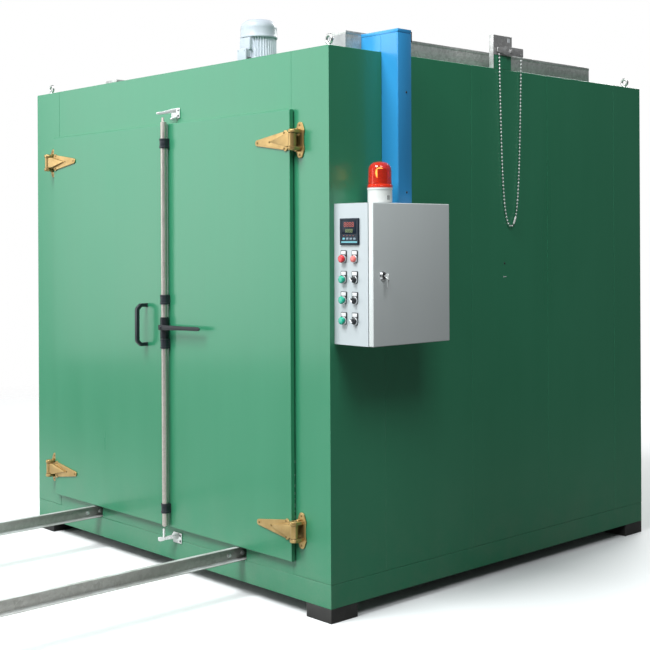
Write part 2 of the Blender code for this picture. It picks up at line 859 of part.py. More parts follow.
def make_damper(oven, paint):
    face = half
    back = damper_back + damper_width
    low = roof_top + seat
    high = low + damper_height
    bent = [
        (face, back), (face - damper_sheet, back), (face - damper_sheet, damper_back + damper_sheet),
        (face - damper_lip, damper_back + damper_sheet), (face - damper_lip, damper_back),
        (face, damper_back),
    ]
    foot = block((face - 0.040, damper_back, low), (face - 0.001, back, low + damper_sheet))
    plate = prism(bent, "Z", low, high)
    fused("damper_bracket", plate, [foot], paint["zinc"], oven)

    z = roof_top + pivot_up
    arm_x = face + arm_standoff
    end = damper_arm + arm_overhang
    arm = block(
        (arm_x, pivot_back - end, z - arm_height / 2),
        (arm_x + arm_sheet, pivot_back + end, z + arm_height / 2),
    )
    boss = disc(0.007, seat, arm_standoff + 0.001, (face, pivot_back, z), "X", 20)
    bolt = disc(0.008, arm_standoff + arm_sheet - 0.001, arm_standoff + arm_sheet + 0.006,
                (face, pivot_back, z), "X", 6)
    fused("damper_lever", arm, [boss, bolt], paint["zinc"], oven)

    chain_x = arm_x + arm_sheet / 2
    top = z - arm_height / 2 - seat
    data = bpy.data.curves.new("damper_chain", "CURVE")
    data.dimensions = "3D"
    data.bevel_depth = chain_radius
    data.bevel_resolution = 2
    data.use_fill_caps = True
    line = data.splines.new("POLY")
    places = chain_points(pivot_back - damper_arm, pivot_back + damper_arm, top, z - chain_drop, chain_x)
    line.points.add(len(places) - 1)
    for point, place in zip(line.points, places):
        point.co = (*(Vector(place) - Vector(oven["place"])), 1.0)
    data.materials.append(paint["zinc"])
    chain = bpy.data.objects.new("damper_chain", data)
    bpy.context.collection.objects.link(chain)
    chain.parent = oven


def make_motor(oven, paint):
    """Flange-mounted fan motor: finned case, domed cowl and terminal box."""
    centre = (0, motor_back, roof_top + seat)
    neck = flange_sheet + 0.006
    flange = turned([(0, 0), (motor_flange, 0), (motor_flange, flange_sheet),
                     (motor_core - 0.004, neck), (0, neck)], centre, steps=40)
    fin = math.tau / motor_fins
    outline = []
    for number in range(motor_fins):
        start = (number + 0.31) * fin
        for part, radius in ((0.0, motor_core), (0.12, motor_radius - 0.003),
                             (0.38, motor_radius - 0.003), (0.5, motor_core)):
            angle = start + part * fin
            outline.append((radius * math.cos(angle), motor_back + radius * math.sin(angle)))
    case = prism(outline, "Z", centre[2] + flange_sheet / 2, centre[2] + motor_body + 0.004)
    shoulder = 0.022
    dome = arc((motor_radius - shoulder, motor_body + cowl_height - shoulder), shoulder, 0, 90, 6)
    cowl = turned([(0, motor_body), (motor_radius, motor_body)] + dome
                  + [(0, motor_body + cowl_height)], centre, steps=40)
    terminal = block(
        (-terminal_width / 2, motor_back - motor_radius - terminal_reach + 0.008, roof_top + terminal_up),
        (terminal_width / 2, motor_back - motor_core + 0.012, roof_top + terminal_up + terminal_height),
    )
    fused("fan_motor", case, [flange, cowl, terminal], paint["motor"], oven)


def make_eyes(oven, paint):
    """Lifting eyes near the roof's corners: a ring on a short shank."""
    for row, y in (("front", eye_in), ("back", body_depth - eye_in)):
        for name, side in (("left", -1), ("right", 1)):
            place = (side * (half - eye_in), y, roof_top + seat)
            shank = turned([(0, 0), (0.013, 0), (0.013, 0.004), (0.007, 0.006), (0.007, 0.016),
                            (0, 0.016)], place, steps=12)
            middle = Vector(place) + Vector((0, 0, 0.010 + eye_radius))
            loop = bmesh.new()
            start = middle + Vector((eye_radius - eye_wire, 0, 0))
            bmesh.ops.create_circle(loop, segments=8, radius=eye_wire,
                                    matrix=Matrix.Translation(start))
            bmesh.ops.spin(loop, geom=loop.verts[:] + loop.edges[:], cent=middle, axis=(0, 1, 0),
                           angle=math.tau, steps=16, use_merge=True)
            fused(f"lifting_eye_{row}_{name}", shank, [loop], paint["zinc"], oven)


def build():
    clear_scene()
    paint = make_finishes()
    right = half + box_depth + lock_proud + key_reach
    centre = ((right - half) / 2, (body_depth - rail_reach) / 2)
    oven = empty("oven", None, (0, 0, 0))
    oven.location = (-centre[0], -centre[1], 0)
    make_base(oven, paint)
    make_floor(oven, paint)
    make_walls(oven, paint)
    make_front_frame(oven, paint)
    hinges = make_doors(oven, paint)
    make_handle(hinges["left"], paint)
    make_guides(hinges["right"], paint)
    make_lock(hinges["right"], paint)
    make_keepers(oven, paint)
    make_control_box(oven, paint)
    make_box_door(oven, paint)
    make_operators(oven, paint)
    make_beacon(oven, paint)
    make_duct(oven, paint)
    make_damper(oven, paint)
    make_motor(oven, paint)
    make_eyes(oven, paint)


build()
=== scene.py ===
import math

import bmesh
import bpy
from mathutils import Matrix, Vector


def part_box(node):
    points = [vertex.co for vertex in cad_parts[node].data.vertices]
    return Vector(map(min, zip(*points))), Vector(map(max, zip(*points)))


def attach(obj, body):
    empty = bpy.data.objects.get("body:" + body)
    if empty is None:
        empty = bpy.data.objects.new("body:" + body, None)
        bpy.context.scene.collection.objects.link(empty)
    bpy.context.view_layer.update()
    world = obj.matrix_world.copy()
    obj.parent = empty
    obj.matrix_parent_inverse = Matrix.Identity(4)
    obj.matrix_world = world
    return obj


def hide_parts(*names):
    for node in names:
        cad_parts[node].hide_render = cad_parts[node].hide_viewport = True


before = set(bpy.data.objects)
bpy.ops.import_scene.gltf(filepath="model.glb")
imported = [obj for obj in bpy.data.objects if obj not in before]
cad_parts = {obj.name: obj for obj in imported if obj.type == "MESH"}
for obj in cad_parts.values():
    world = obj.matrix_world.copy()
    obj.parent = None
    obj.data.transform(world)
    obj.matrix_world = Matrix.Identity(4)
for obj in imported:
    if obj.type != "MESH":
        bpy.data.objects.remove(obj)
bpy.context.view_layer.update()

# The oven's own frame: x from the centreline, y from the front face, z from the floor.
baseLow, baseHigh = (Vector(corner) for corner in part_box("base_frame"))
origin = Vector(((baseLow.x + baseHigh.x) / 2, baseLow.y, 0))
halfWidth = (baseHigh.x - baseLow.x) / 2
depth = baseHigh.y - baseLow.y
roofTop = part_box("roof_panel")[1][2]
baseTop = baseHigh.z
seat = 0.0003


# camera, floor and light

view = {
    "place": (4.265, -3.0125, 1.3967),
    "turn": 47.16,    # degrees, 0 looks at the front face squarely
    "roll": -0.276,
    "lens": 67.47,
    "shift": -0.1322,
}


def setCamera():
    data = bpy.data.cameras.new("camera")
    data.lens = view["lens"]
    data.sensor_width = 36
    data.shift_y = view["shift"]
    data.clip_end = 200
    camera = bpy.data.objects.new("camera", data)
    bpy.context.scene.collection.objects.link(camera)
    turn = Matrix.Rotation(math.radians(view["turn"]), 4, "Z")
    tilt = Matrix.Rotation(math.radians(90), 4, "X")
    roll = Matrix.Rotation(math.radians(view["roll"]), 4, "Z")
    camera.matrix_world = Matrix.Translation(origin + Vector(view["place"])) @ turn @ tilt @ roll
    bpy.context.scene.camera = camera
    print("camera set")


light = {
    "sky": 0.1,               # ambient strength
    "key": (1090, (0.5, -5.2, 8.0), 4.2, (0.95, 0.99, 1.0)),
    "gloss": (300, (-5.0, -5.4, 3.0), 6.0, (0.95, 0.99, 1.0)),
    "side": (160, (4.6, -1.4, 6.2), 2.5, (0.93, 0.98, 1.0)),
    "back": (520, (-1.5, 8.5, 6.0), 4.0, (1.0, 1.0, 1.0)),
    "left": (70, (-8.0, 1.0, 5.5), 4.0, (1.0, 1.0, 1.0)),
    "floor": (0.93, 0.14),    # tone seen by the camera, tone that lights the oven
    "sheen": 0.95,            # tone of the floor that the doors reflect
}


def setWorld():  # white for the camera, a weak pale sky for every other ray
    world = bpy.data.worlds.new("studio")
    bpy.context.scene.world = world
    world.use_nodes = True
    tree = world.node_tree
    tree.nodes.clear()
    seen = addNode(tree, "Background", {"Color": (1, 1, 1, 1), "Strength": 1.0})
    lit = addNode(tree, "Background", {"Color": (0.94, 0.97, 1, 1), "Strength": light["sky"]})
    camera = addNode(tree, "LightPath").outputs["Is Camera Ray"]
    mix = addNode(tree, "MixShader", {0: camera, 1: lit.outputs[0], 2: seen.outputs[0]})
    addNode(tree, "OutputWorld", {0: mix.outputs[0]})


def makeFloor():
    mesh = bmesh.new()
    bmesh.ops.create_grid(mesh, x_segments=1, y_segments=1, size=60)
    data = bpy.data.meshes.new("floor")
    mesh.to_mesh(data)
    mesh.free()
    floor = bpy.data.objects.new("floor", data)
    bpy.context.scene.collection.objects.link(floor)
    pale, tree, shader = startMaterial("paleFloor", Roughness=0.85, Specular_IOR_Level=0.1)
    rays = addNode(tree, "LightPath").outputs
    bright, dark = light["floor"]
    place = objectPlace(tree)
    y = split(tree, place)[1]
    before = times(tree, spread(tree, y, origin.y - 0.25, origin.y - 0.02, 1.0, 0.0),
            spread(tree, y, origin.y - 1.5, origin.y - 0.3, 0.3, 1.0))
    sheen = times(tree, before, rays["Is Glossy Ray"])
    tone = blendValue(tree, rays["Is Camera Ray"], spread(tree, sheen, 0, 1, dark, light["sheen"]), bright)
    tree.links.new(tone, shader["Base Color"])
    reach = addNode(tree, "VectorMath", {0: place}, operation="LENGTH").outputs["Value"]
    tree.links.new(spread(tree, reach, 3.2, 7.0, 1.0, 0.0), shader["Alpha"])
    data.materials.append(pale)


def setLights():
    scene = bpy.context.scene
    scene.view_settings.view_transform = "Standard"
    setWorld()
    aim = origin + Vector((0, depth / 2, 1.0))
    for name in ("key", "gloss", "side", "back", "left"):
        power, place, size, colour = light[name]
        data = bpy.data.lights.new(name, "AREA")
        data.energy, data.size, data.color = power, size, colour
        lamp = bpy.data.objects.new(name, data)
        lamp.location = origin + Vector(place)
        lamp.rotation_euler = (aim - lamp.location).to_track_quat("-Z", "Y").to_euler()
        scene.collection.objects.link(lamp)
    makeFloor()
    print("floor and lights set")


# shader helpers

def addNode(tree, kind, sockets=None, **settings):
    node = tree.nodes.new("ShaderNode" + kind)
    for name, value in settings.items():
        setattr(node, name, value)
    for name, value in (sockets or {}).items():
        if isinstance(value, bpy.types.NodeSocket):
            tree.links.new(value, node.inputs[name])
        else:
            node.inputs[name].default_value = value
    return node


def sums(tree, operation, a, b=0.0, clamp=False):
    return addNode(tree, "Math", {0: a, 1: b}, operation=operation, use_clamp=clamp).outputs[0]


def times(tree, a, b, clamp=False):
    return sums(tree, "MULTIPLY", a, b, clamp)


def blendColour(tree, factor, a, b):
    return addNode(tree, "Mix", {0: factor, 6: a, 7: b}, data_type="RGBA").outputs[2]


def blendValue(tree, factor, a, b):
    return addNode(tree, "Mix", {0: factor, 2: a, 3: b}).outputs[0]


def blendVector(tree, factor, a, b):
    return addNode(tree, "Mix", {0: factor, 4: a, 5: b}, data_type="VECTOR").outputs[1]


def spread(tree, value, low, high, toLow=0.0, toHigh=1.0):
    sockets = {"Value": value, "From Min": low, "From Max": high, "To Min": toLow, "To Max": toHigh}
    return addNode(tree, "MapRange", sockets).outputs["Result"]


def noise(tree, place, scale, detail=3.0, roughness=0.5, distortion=0.0):
    sockets = {"Vector": place, "Scale": scale, "Detail": detail, "Roughness": roughness,
            "Distortion": distortion}
    return addNode(tree, "TexNoise", sockets).outputs["Fac"]


def stretched(tree, place, scale):
    return addNode(tree, "Mapping", {"Vector": place, "Scale": scale}).outputs[0]


def objectPlace(tree):
    return addNode(tree, "TexCoord").outputs["Object"]


def split(tree, vector):
    return addNode(tree, "SeparateXYZ", {0: vector}).outputs


def bump(tree, strength, distance, height, **more):
    sockets = {"Strength": strength, "Distance": distance, "Height": height, **more}
    return addNode(tree, "Bump", sockets).outputs[0]


number, arrow = "NodeSocketFloat", "NodeSocketVector"


def startGroup(name, inputs, **outputs):
    tree = bpy.data.node_groups.new(name, "ShaderNodeTree")
    for label, value in inputs.items():
        tree.interface.new_socket(label, in_out="INPUT", socket_type=number).default_value = value
    for label, kind in outputs.items():
        tree.interface.new_socket(label, in_out="OUTPUT", socket_type=kind)
    given, out = tree.nodes.new("NodeGroupInput").outputs, tree.nodes.new("NodeGroupOutput").inputs
    return tree, given, out, objectPlace(tree)


def edgeWearGroup():  # 1 on worn sheet edges, 0 elsewhere
    inputs = {"Width": 0.003, "Amount": 0.5, "Patchiness": 30.0}
    tree, given, out, place = startGroup("edgeWear", inputs, Mask=number)
    rounded = addNode(tree, "Bevel", {"Radius": given["Width"]}, samples=4).outputs[0]
    flat = addNode(tree, "NewGeometry").outputs["Normal"]
    dot = addNode(tree, "VectorMath", {0: rounded, 1: flat}, operation="DOT_PRODUCT").outputs["Value"]
    patches = spread(tree, noise(tree, place, given["Patchiness"], 4.0, 0.65), 0.42, 0.66)
    worn = times(tree, spread(tree, dot, 0.995, 0.8), patches)
    tree.links.new(times(tree, worn, given["Amount"], True), out["Mask"])
    return tree


# with a pale tone, as on the rails, this same mask paints a highlight on the tops
def dustGroup():  # settled dust on faces that look up, and splashes near the floor
    inputs = {"On Top": 0.3, "Near Floor": 0.3, "Floor Height": 0.35}
    tree, given, out, place = startGroup("dustCover", inputs, Mask=number)
    up = split(tree, addNode(tree, "NewGeometry").outputs["Normal"])["Z"]
    cloud = spread(tree, noise(tree, place, 6.0, 5.0, 0.6), 0.35, 0.7)
    top = times(tree, spread(tree, up, 0.5, 0.95), given["On Top"])
    height = sums(tree, "DIVIDE", split(tree, place)["Z"], given["Floor Height"])
    low = sums(tree, "POWER", sums(tree, "SUBTRACT", 1.0, height, True), 1.6)
    low = times(tree, low, given["Near Floor"])
    fine = spread(tree, noise(tree, place, 140.0, 2.0), 0.3, 0.75, 0.55, 1.0)
    mask = times(tree, sums(tree, "MAXIMUM", top, low), cloud)
    tree.links.new(times(tree, mask, fine, True), out["Mask"])
    return tree


def streakGroup():  # soft vertical runs and slow clouds in a sprayed coat
    tree, given, out, place = startGroup("sprayClouds", {"Runs": 1.0, "Clouds": 1.0}, Mask=number)
    runs = noise(tree, stretched(tree, place, (9.0, 9.0, 0.5)), 1.0, 4.0, 0.6)
    clouds = noise(tree, stretched(tree, place, (1.0, 1.0, 0.7)), 1.6, 3.0, 0.5, 0.6)
    runs = times(tree, sums(tree, "SUBTRACT", runs, 0.5), given["Runs"])
    clouds = times(tree, sums(tree, "SUBTRACT", clouds, 0.5), given["Clouds"])
    tree.links.new(sums(tree, "ADD", sums(tree, "ADD", runs, clouds), 0.5, True), out["Mask"])
    return tree


def ripplesGroup():  # orange peel of enamel over the slight waves of thin sheet
    inputs = {"Peel": 0.2, "Peel Scale": 260.0, "Waves": 0.3}
    tree, given, out, place = startGroup("sheetRipples", inputs, Normal=arrow)
    peel = noise(tree, place, given["Peel Scale"], 2.0, 0.4)
    waves = noise(tree, stretched(tree, place, (1.0, 1.0, 0.6)), 2.2, 2.0, 0.4)
    first = bump(tree, given["Waves"], 0.004, waves)
    tree.links.new(bump(tree, given["Peel"], 0.0002, peel, Normal=first), out["Normal"])
    return tree


def spangleGroup():  # crystals of hot-dip zinc
    inputs = {"Size": 90.0, "Contrast": 0.5, "Scratches": 0.3}
    tree, given, out, place = startGroup("zincSpangle", inputs, Shade=number, Roughness=number, Normal=arrow)
    moved = addNode(tree, "VectorMath", {0: place, 1: noise(tree, place, 40.0, 2.0)}, operation="ADD")
    bent = blendVector(tree, 0.04, place, moved.outputs[0])
    cells = addNode(tree, "TexVoronoi", {"Vector": bent, "Scale": given["Size"]}).outputs["Color"]
    grey = addNode(tree, "SeparateColor", {0: cells}).outputs
    shade = times(tree, sums(tree, "SUBTRACT", grey[0], 0.5), given["Contrast"])
    scratch = noise(tree, stretched(tree, place, (4.0, 220.0, 60.0)), 1.0, 3.0, 0.7)
    cloud = noise(tree, place, 3.0, 3.0)
    tree.links.new(sums(tree, "ADD", shade, times(tree, cloud, 0.5)), out["Shade"])
    rough = sums(tree, "ADD", 0.3, times(tree, grey[1], 0.22))
    tree.links.new(sums(tree, "ADD", rough, times(tree, cloud, 0.12)), out["Roughness"])
    tree.links.new(bump(tree, given["Scratches"], 0.00015, scratch), out["Normal"])
    return tree


def grainGroup():  # moulded plastic and cast skin
    tree, given, out, place = startGroup("castGrain", {"Grain": 0.3, "Scale": 700.0}, Mask=number,
            Normal=arrow)
    grain = noise(tree, place, given["Scale"], 3.0, 0.55)
    tree.links.new(noise(tree, place, 24.0, 3.0, 0.6), out["Mask"])
    tree.links.new(bump(tree, given["Grain"], 0.0002, grain), out["Normal"])
    return tree


groups = {"wear": edgeWearGroup(), "dust": dustGroup(), "spray": streakGroup(), "ripples": ripplesGroup(),
        "spangle": spangleGroup(), "grain": grainGroup()}


def setInputs(inputs, values):
    for label, value in values.items():
        inputs[label.replace("_", " ")].default_value = value


def useGroup(tree, name, **values):
    node = tree.nodes.new("ShaderNodeGroup")
    node.node_tree = groups[name]
    setInputs(node.inputs, values)
    return node.outputs


def rgba(colour):
    return (*colour, 1.0)


def startMaterial(name, **values):
    material = bpy.data.materials.new(name)
    material.use_nodes = True
    shader = material.node_tree.nodes["Principled BSDF"].inputs
    setInputs(shader, values)
    return material, material.node_tree, shader


def wireShader(tree, shader, colour, rough, normal):
    for label, socket in (("Base Color", colour), ("Roughness", rough), ("Normal", normal)):
        tree.links.new(socket, shader[label])


# finishes

enamel = {
    "body": ((0.026, 0.235, 0.112), (0.046, 0.282, 0.148)),    # full coat, thin coat
    "primer": (0.23, 0.3, 0.26),
    "dust": (0.34, 0.32, 0.27),
    "roughness": (0.26, 0.4),
}


def paintedSheet(name, full, thin, roughness, wear=0.35, dustTop=0.35, dustLow=0.25, ripples=0.3, peel=0.22,
        chamber=False):
    material, tree, shader = startMaterial(name, Coat_Weight=0.25, Coat_Roughness=0.12)
    spray = useGroup(tree, "spray", Runs=0.55, Clouds=0.9)["Mask"]
    colour = blendColour(tree, spray, rgba(full), rgba(thin))
    rough = spread(tree, spray, 0.2, 0.8, *roughness)
    worn = useGroup(tree, "wear", Width=0.0025, Amount=wear, Patchiness=26.0)["Mask"]
    colour = blendColour(tree, worn, colour, rgba(enamel["primer"]))
    dusty = useGroup(tree, "dust", On_Top=dustTop, Near_Floor=dustLow, Floor_Height=0.5)["Mask"]
    colour = blendColour(tree, dusty, colour, rgba(enamel["dust"]))
    rough = sums(tree, "ADD", rough, times(tree, dusty, 0.45), True)
    normal = useGroup(tree, "ripples", Peel=peel, Waves=ripples)["Normal"]
    if chamber:
        colour, rough, metal, normal = addChamber(tree, colour, rough, normal)
        tree.links.new(metal, shader["Metallic"])
    wireShader(tree, shader, colour, rough, normal)
    return material


def addChamber(tree, colour, rough, normal):  # bare zinc sheet lines the oven and the doors' plugs
    x, y, z = split(tree, objectPlace(tree))
    across = sums(tree, "ABSOLUTE", sums(tree, "SUBTRACT", x, origin.x))
    inside = sums(tree, "LESS_THAN", across, halfWidth - 0.0998)
    for test, value, limit in (("GREATER_THAN", y, origin.y + 0.004),
            ("LESS_THAN", y, origin.y + depth - 0.0998), ("LESS_THAN", z, roofTop - 0.0998),
            ("GREATER_THAN", z, baseTop + 0.051)):
        inside = times(tree, inside, sums(tree, test, value, limit))
    zinc = useGroup(tree, "spangle", Size=70.0, Contrast=0.3, Scratches=0.25)
    lining = blendColour(tree, zinc["Shade"], (0.46, 0.47, 0.47, 1), (0.62, 0.63, 0.63, 1))
    rough = blendValue(tree, inside, rough, zinc["Roughness"])
    normal = blendVector(tree, inside, normal, zinc["Normal"])
    return blendColour(tree, inside, colour, lining), rough, times(tree, inside, 0.85), normal


def zincCoat(name, dark, bright, size=90.0, contrast=0.55, dust=0.15, low=0.15, metal=0.55,
        dustAndSheenTone=(0.2, 0.18, 0.15), mouth=0.0):
    material, tree, shader = startMaterial(name, Metallic=metal)
    zinc = useGroup(tree, "spangle", Size=size, Contrast=contrast, Scratches=0.3)
    colour = blendColour(tree, zinc["Shade"], rgba(dark), rgba(bright))
    if mouth:  # painted shade: darker towards the oven
        near = spread(tree, split(tree, objectPlace(tree))[1], origin.y - 1.3, origin.y - 0.1, 0.0, mouth)
        colour = blendColour(tree, near, colour, (0.05, 0.05, 0.05, 1))
    # dust on faces that look up and near the floor; with a pale tone, as on the rails, it paints a highlight
    # on the tops
    dusty = useGroup(tree, "dust", On_Top=dust, Near_Floor=low, Floor_Height=0.3)["Mask"]
    colour = blendColour(tree, dusty, colour, rgba(dustAndSheenTone))
    rough = sums(tree, "ADD", zinc["Roughness"], times(tree, dusty, 0.4), True)
    wireShader(tree, shader, colour, rough, zinc["Normal"])
    return material


def castMetal(name, colour, dull, roughness, metallic, grain=0.25, wear=0.5, worn=None, scale=500.0):
    material, tree, shader = startMaterial(name, Metallic=metallic)
    cast = useGroup(tree, "grain", Grain=grain, Scale=scale)
    tone = blendColour(tree, spread(tree, cast["Mask"], 0.3, 0.75), rgba(colour), rgba(dull))
    rubbed = useGroup(tree, "wear", Width=0.0015, Amount=wear, Patchiness=60.0)["Mask"]
    tone = blendColour(tree, rubbed, tone, rgba(worn or colour))
    wireShader(tree, shader, tone, spread(tree, cast["Mask"], 0.3, 0.75, *roughness), cast["Normal"])
    return material


def moulded(name, colour, roughness=(0.32, 0.45), grain=0.15, values={}):
    material, tree, shader = startMaterial(name, **values)
    skin = useGroup(tree, "grain", Grain=grain, Scale=900.0)
    darker = tuple(channel * 0.82 for channel in colour)
    tone = blendColour(tree, spread(tree, skin["Mask"], 0.35, 0.8), rgba(colour), rgba(darker))
    wireShader(tree, shader, tone, spread(tree, skin["Mask"], 0.3, 0.7, *roughness), skin["Normal"])
    return material


sheetPaints = {     # full coat, thin coat, roughness, wear, dust on top, dust below, ripples, peel, lined
    "enamel": (*enamel["body"], enamel["roughness"], 0.35, 0.35, 0.25, 0.3, 0.22, True),
    "doorEnamel": (*enamel["body"], enamel["roughness"], 0.35, 0.35, 0.25, 0.3, 0.22, True),
    "footPaint": ((0.02, 0.02, 0.02), (0.035, 0.034, 0.033), (0.45, 0.6), 0.35, 0.35, 0.12),
    "boxPaint": ((0.49, 0.54, 0.56), (0.54, 0.59, 0.61), (0.34, 0.44), 0.2, 0.25, 0, 0.05, 0.35),
    # painted light: the box door takes a lighter copy of the box's grey, though both are one paint, to offset
    # the weaker light on its side
    "boxDoorPaint": ((0.7, 0.74, 0.73), (0.76, 0.8, 0.79), (0.3, 0.42), 0.2, 0.25, 0, 0.05, 0.35),
    "ductPaint": ((0.03, 0.3, 0.66), (0.045, 0.36, 0.74), (0.28, 0.38), 0.3, 0.4, 0, 0.12),
}
zincs = {           # dark, bright, crystals, contrast, dust on top, below, metal, tone of the dust and of a painted top highlight, painted shade near the oven
    "zinc": ((0.5, 0.49, 0.48), (0.78, 0.77, 0.76)),
    # rails: their pale dust on top is a painted highlight, and the last value paints shade on them near the
    # oven
    "railZinc": ((0.67, 0.65, 0.61), (0.93, 0.91, 0.87), 70.0, 0.55, 0.9, 0.0, 0.4, (0.9, 0.93, 0.95), 0.5),
    "rod": ((0.52, 0.475, 0.435), (0.74, 0.685, 0.635), 150.0, 0.25, 0.15, 0.15, 0.9),
}
castings = {        # colour, dull places, roughness, metal, grain, wear, rubbed edges, fineness of the grain
    # painted shade: a darker copy of the motor's pale paint, for the cowl, pad and terminal box, which face
    # the lights
    "cowlPaint": ((0.5, 0.54, 0.59), (0.44, 0.48, 0.53), (0.34, 0.48), 0.0, 0.3, 0.2),
    "motorPaint": ((0.84, 0.86, 0.92), (0.76, 0.78, 0.85), (0.36, 0.5), 0.0, 0.35, 0.2),
    "gold": ((0.51, 0.345, 0.14), (0.41, 0.26, 0.095), (0.28, 0.42), 0.7, 0.45, 0.9, (0.95, 0.8, 0.5), 320.0),
    "darkGold": ((0.3, 0.2, 0.075), (0.2, 0.13, 0.05), (0.35, 0.5), 0.8, 0.3, 0.5, (0.55, 0.38, 0.15)),
    "blackCast": ((0.012, 0.016, 0.022), (0.024, 0.028, 0.036), (0.34, 0.48), 0.0, 0.4, 0.45,
        (0.16, 0.17, 0.18)),
    # painted shade: a darker copy of the black cast paint for the lever; its pale, strong rubbed edges are
    # wear and a painted highlight along the edges
    "leverPaint": ((0.004, 0.006, 0.009), (0.01, 0.012, 0.016), (0.42, 0.55), 0.0, 0.4, 0.9,
        (0.3, 0.33, 0.33)),
    # painted shade: a darker copy of the zinc for the trunking's front end faces
    "trunkEnd": ((0.4, 0.39, 0.4), (0.33, 0.32, 0.33), (0.35, 0.5), 0.1, 0.1, 0.3),
    "bolt": ((0.66, 0.66, 0.64), (0.5, 0.5, 0.49), (0.26, 0.42), 0.95, 0.2, 0.5, (0.85, 0.85, 0.84)),
    "brightZinc": ((0.84, 0.85, 0.84), (0.7, 0.71, 0.7), (0.22, 0.36), 0.45, 0.2, 0.4, (0.92, 0.92, 0.91)),
    "amberMirror": ((0.95, 0.45, 0.18), (0.8, 0.28, 0.1), (0.12, 0.25), 1.0, 0.05, 0.1),
    "chrome": ((0.8, 0.8, 0.81), (0.66, 0.66, 0.67), (0.1, 0.22), 1.0, 0.08, 0.2),
    "satinRing": ((0.72, 0.73, 0.74), (0.6, 0.61, 0.62), (0.25, 0.35), 0.9, 0.1, 0.2),
    "darkSteel": ((0.1, 0.1, 0.1), (0.06, 0.06, 0.06), (0.35, 0.5), 0.8, 0.2, 0.4, (0.4, 0.4, 0.4)),
    "chainZinc": ((0.92, 0.92, 0.9), (0.76, 0.76, 0.74), (0.28, 0.42), 0.35, 0.2, 0.3),
}
mouldings = {       # colour, roughness, grain, other values of the shader
    "blackPlastic": ((0.018, 0.02, 0.024),),
    "whitePlastic": ((0.82, 0.82, 0.79), (0.25, 0.35), 0.08),
    "redButton": ((0.78, 0.018, 0.03), (0.16, 0.26), 0.05, {"Coat_Weight": 0.4}),
    "greenButton": ((0.0, 0.43, 0.28), (0.16, 0.26), 0.05, {"Coat_Weight": 0.4}),
    "redDome": ((0.7, 0.03, 0.012), (0.05, 0.1), 0.04,
                {"Alpha": 0.5, "Coat_Weight": 0.8, "Coat_Roughness": 0.04}),
    # painted glow: the ring inside the dome glows so that the red lens looks lit
    "redGlow": ((0.95, 0.06, 0.02), (0.2, 0.3), 0.04,
                {"Emission_Strength": 0.35, "Emission_Color": (1.0, 0.1, 0.03, 1)}),
    # painted glint: the bulb glows to show the yellow glint seen in the dome
    "amberBulb": ((1.0, 0.62, 0.12), (0.1, 0.2), 0.03,
                  {"Emission_Strength": 5.0, "Emission_Color": (1.0, 0.62, 0.12, 1)}),
    "pinkLamp": ((0.9, 0.2, 0.18), (0.1, 0.2), 0.05, {"Coat_Weight": 0.5}),
    "rubber": ((0.02, 0.02, 0.021), (0.6, 0.75), 0.35),
    "labelCard": ((0.86, 0.87, 0.88), (0.4, 0.5), 0.03),
    "controllerCase": ((0.012, 0.022, 0.036), (0.35, 0.48), 0.12, {"Specular_IOR_Level": 0.25}),
    "displayGlass": ((0.012, 0.02, 0.034), (0.1, 0.16), 0.01, {"Specular_IOR_Level": 0.12}),
    "redDigit": ((0.5, 0.1, 0.07), (0.3, 0.4), 0.02,
                 {"Emission_Strength": 0.22, "Emission_Color": (1.0, 0.1, 0.06, 1)}),
    "greenDigit": ((0.3, 0.36, 0.16), (0.3, 0.4), 0.02,
                   {"Emission_Strength": 0.12, "Emission_Color": (0.45, 0.85, 0.2, 1)}),
    "keyRubber": ((0.22, 0.3, 0.36), (0.4, 0.5), 0.1),
    "cyanFilm": ((0.16, 0.5, 0.58), (0.3, 0.4), 0.04),
}
finishes = {name: make(name, *values) for make, table in ((paintedSheet, sheetPaints), (zincCoat, zincs),
        (castMetal, castings), (moulded, mouldings)) for name, values in table.items()}
print("finishes made:", len(finishes))


# dressing of the CAD nodes

nodeFinish = {
    "enamel": ("base_frame", "front_left_corner", "front_right_corner", "left_wall", "right_wall",
               "back_wall", "roof_panel", "front_header", "front_sill"),
    "doorEnamel": ("left_door", "right_door"),
    "footPaint": ("foot_front_left", "foot_front_right", "foot_back_left", "foot_back_right"),
    "boxPaint": ("control_box",),
    "boxDoorPaint": ("control_box_door",),
    "ductPaint": ("cable_duct",),
    "motorPaint": ("fan_motor",),
    "gold": tuple(f"{side}_{part}_{row}" for side in ("left", "right") for part in ("strap", "bracket")
                  for row in ("top", "bottom")),
    "leverPaint": ("lock_lever",),
    "blackCast": ("pull_handle", "rod_guide_top", "rod_guide_upper", "rod_guide_lower",
                  "rod_guide_bottom"),
    "zinc": ("floor_panel", "right_trunking", "left_trunking", "damper_bracket", "damper_lever",
             "damper_chain", "keeper_top", "keeper_bottom", "lifting_eye_front_left",
             "lifting_eye_front_right", "lifting_eye_back_left", "lifting_eye_back_right"),
    "railZinc": ("outer_rail_left", "outer_rail_right"),
    "rod": ("lock_rod",),
    "blackPlastic": ("temperature_controller", "selector_1", "selector_2", "selector_3"),
    "whitePlastic": ("beacon_base",),
    "redButton": ("push_button_1",),
    "greenButton": ("push_button_2", "push_button_3", "push_button_4"),
    "redDome": ("beacon_dome",),
}
foldRadius = {"enamel": 0.0018, "doorEnamel": 0.007, "footPaint": 0.002}    # bends of the folded sheet


def dressNodes():
    for finish, names in nodeFinish.items():
        for name in names:
            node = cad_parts[name]
            node.data.materials.clear()
            node.data.materials.append(finishes[finish])
            if finish in foldRadius:
                node.modifiers.new("weld", "WELD").merge_threshold = 0.00002
                fold = node.modifiers.new("fold", "BEVEL")
                fold.width, fold.segments, fold.material = foldRadius[finish], 2, -1
                fold.limit_method, fold.angle_limit = "ANGLE", math.radians(40)
    print("nodes dressed")


# modelling tools

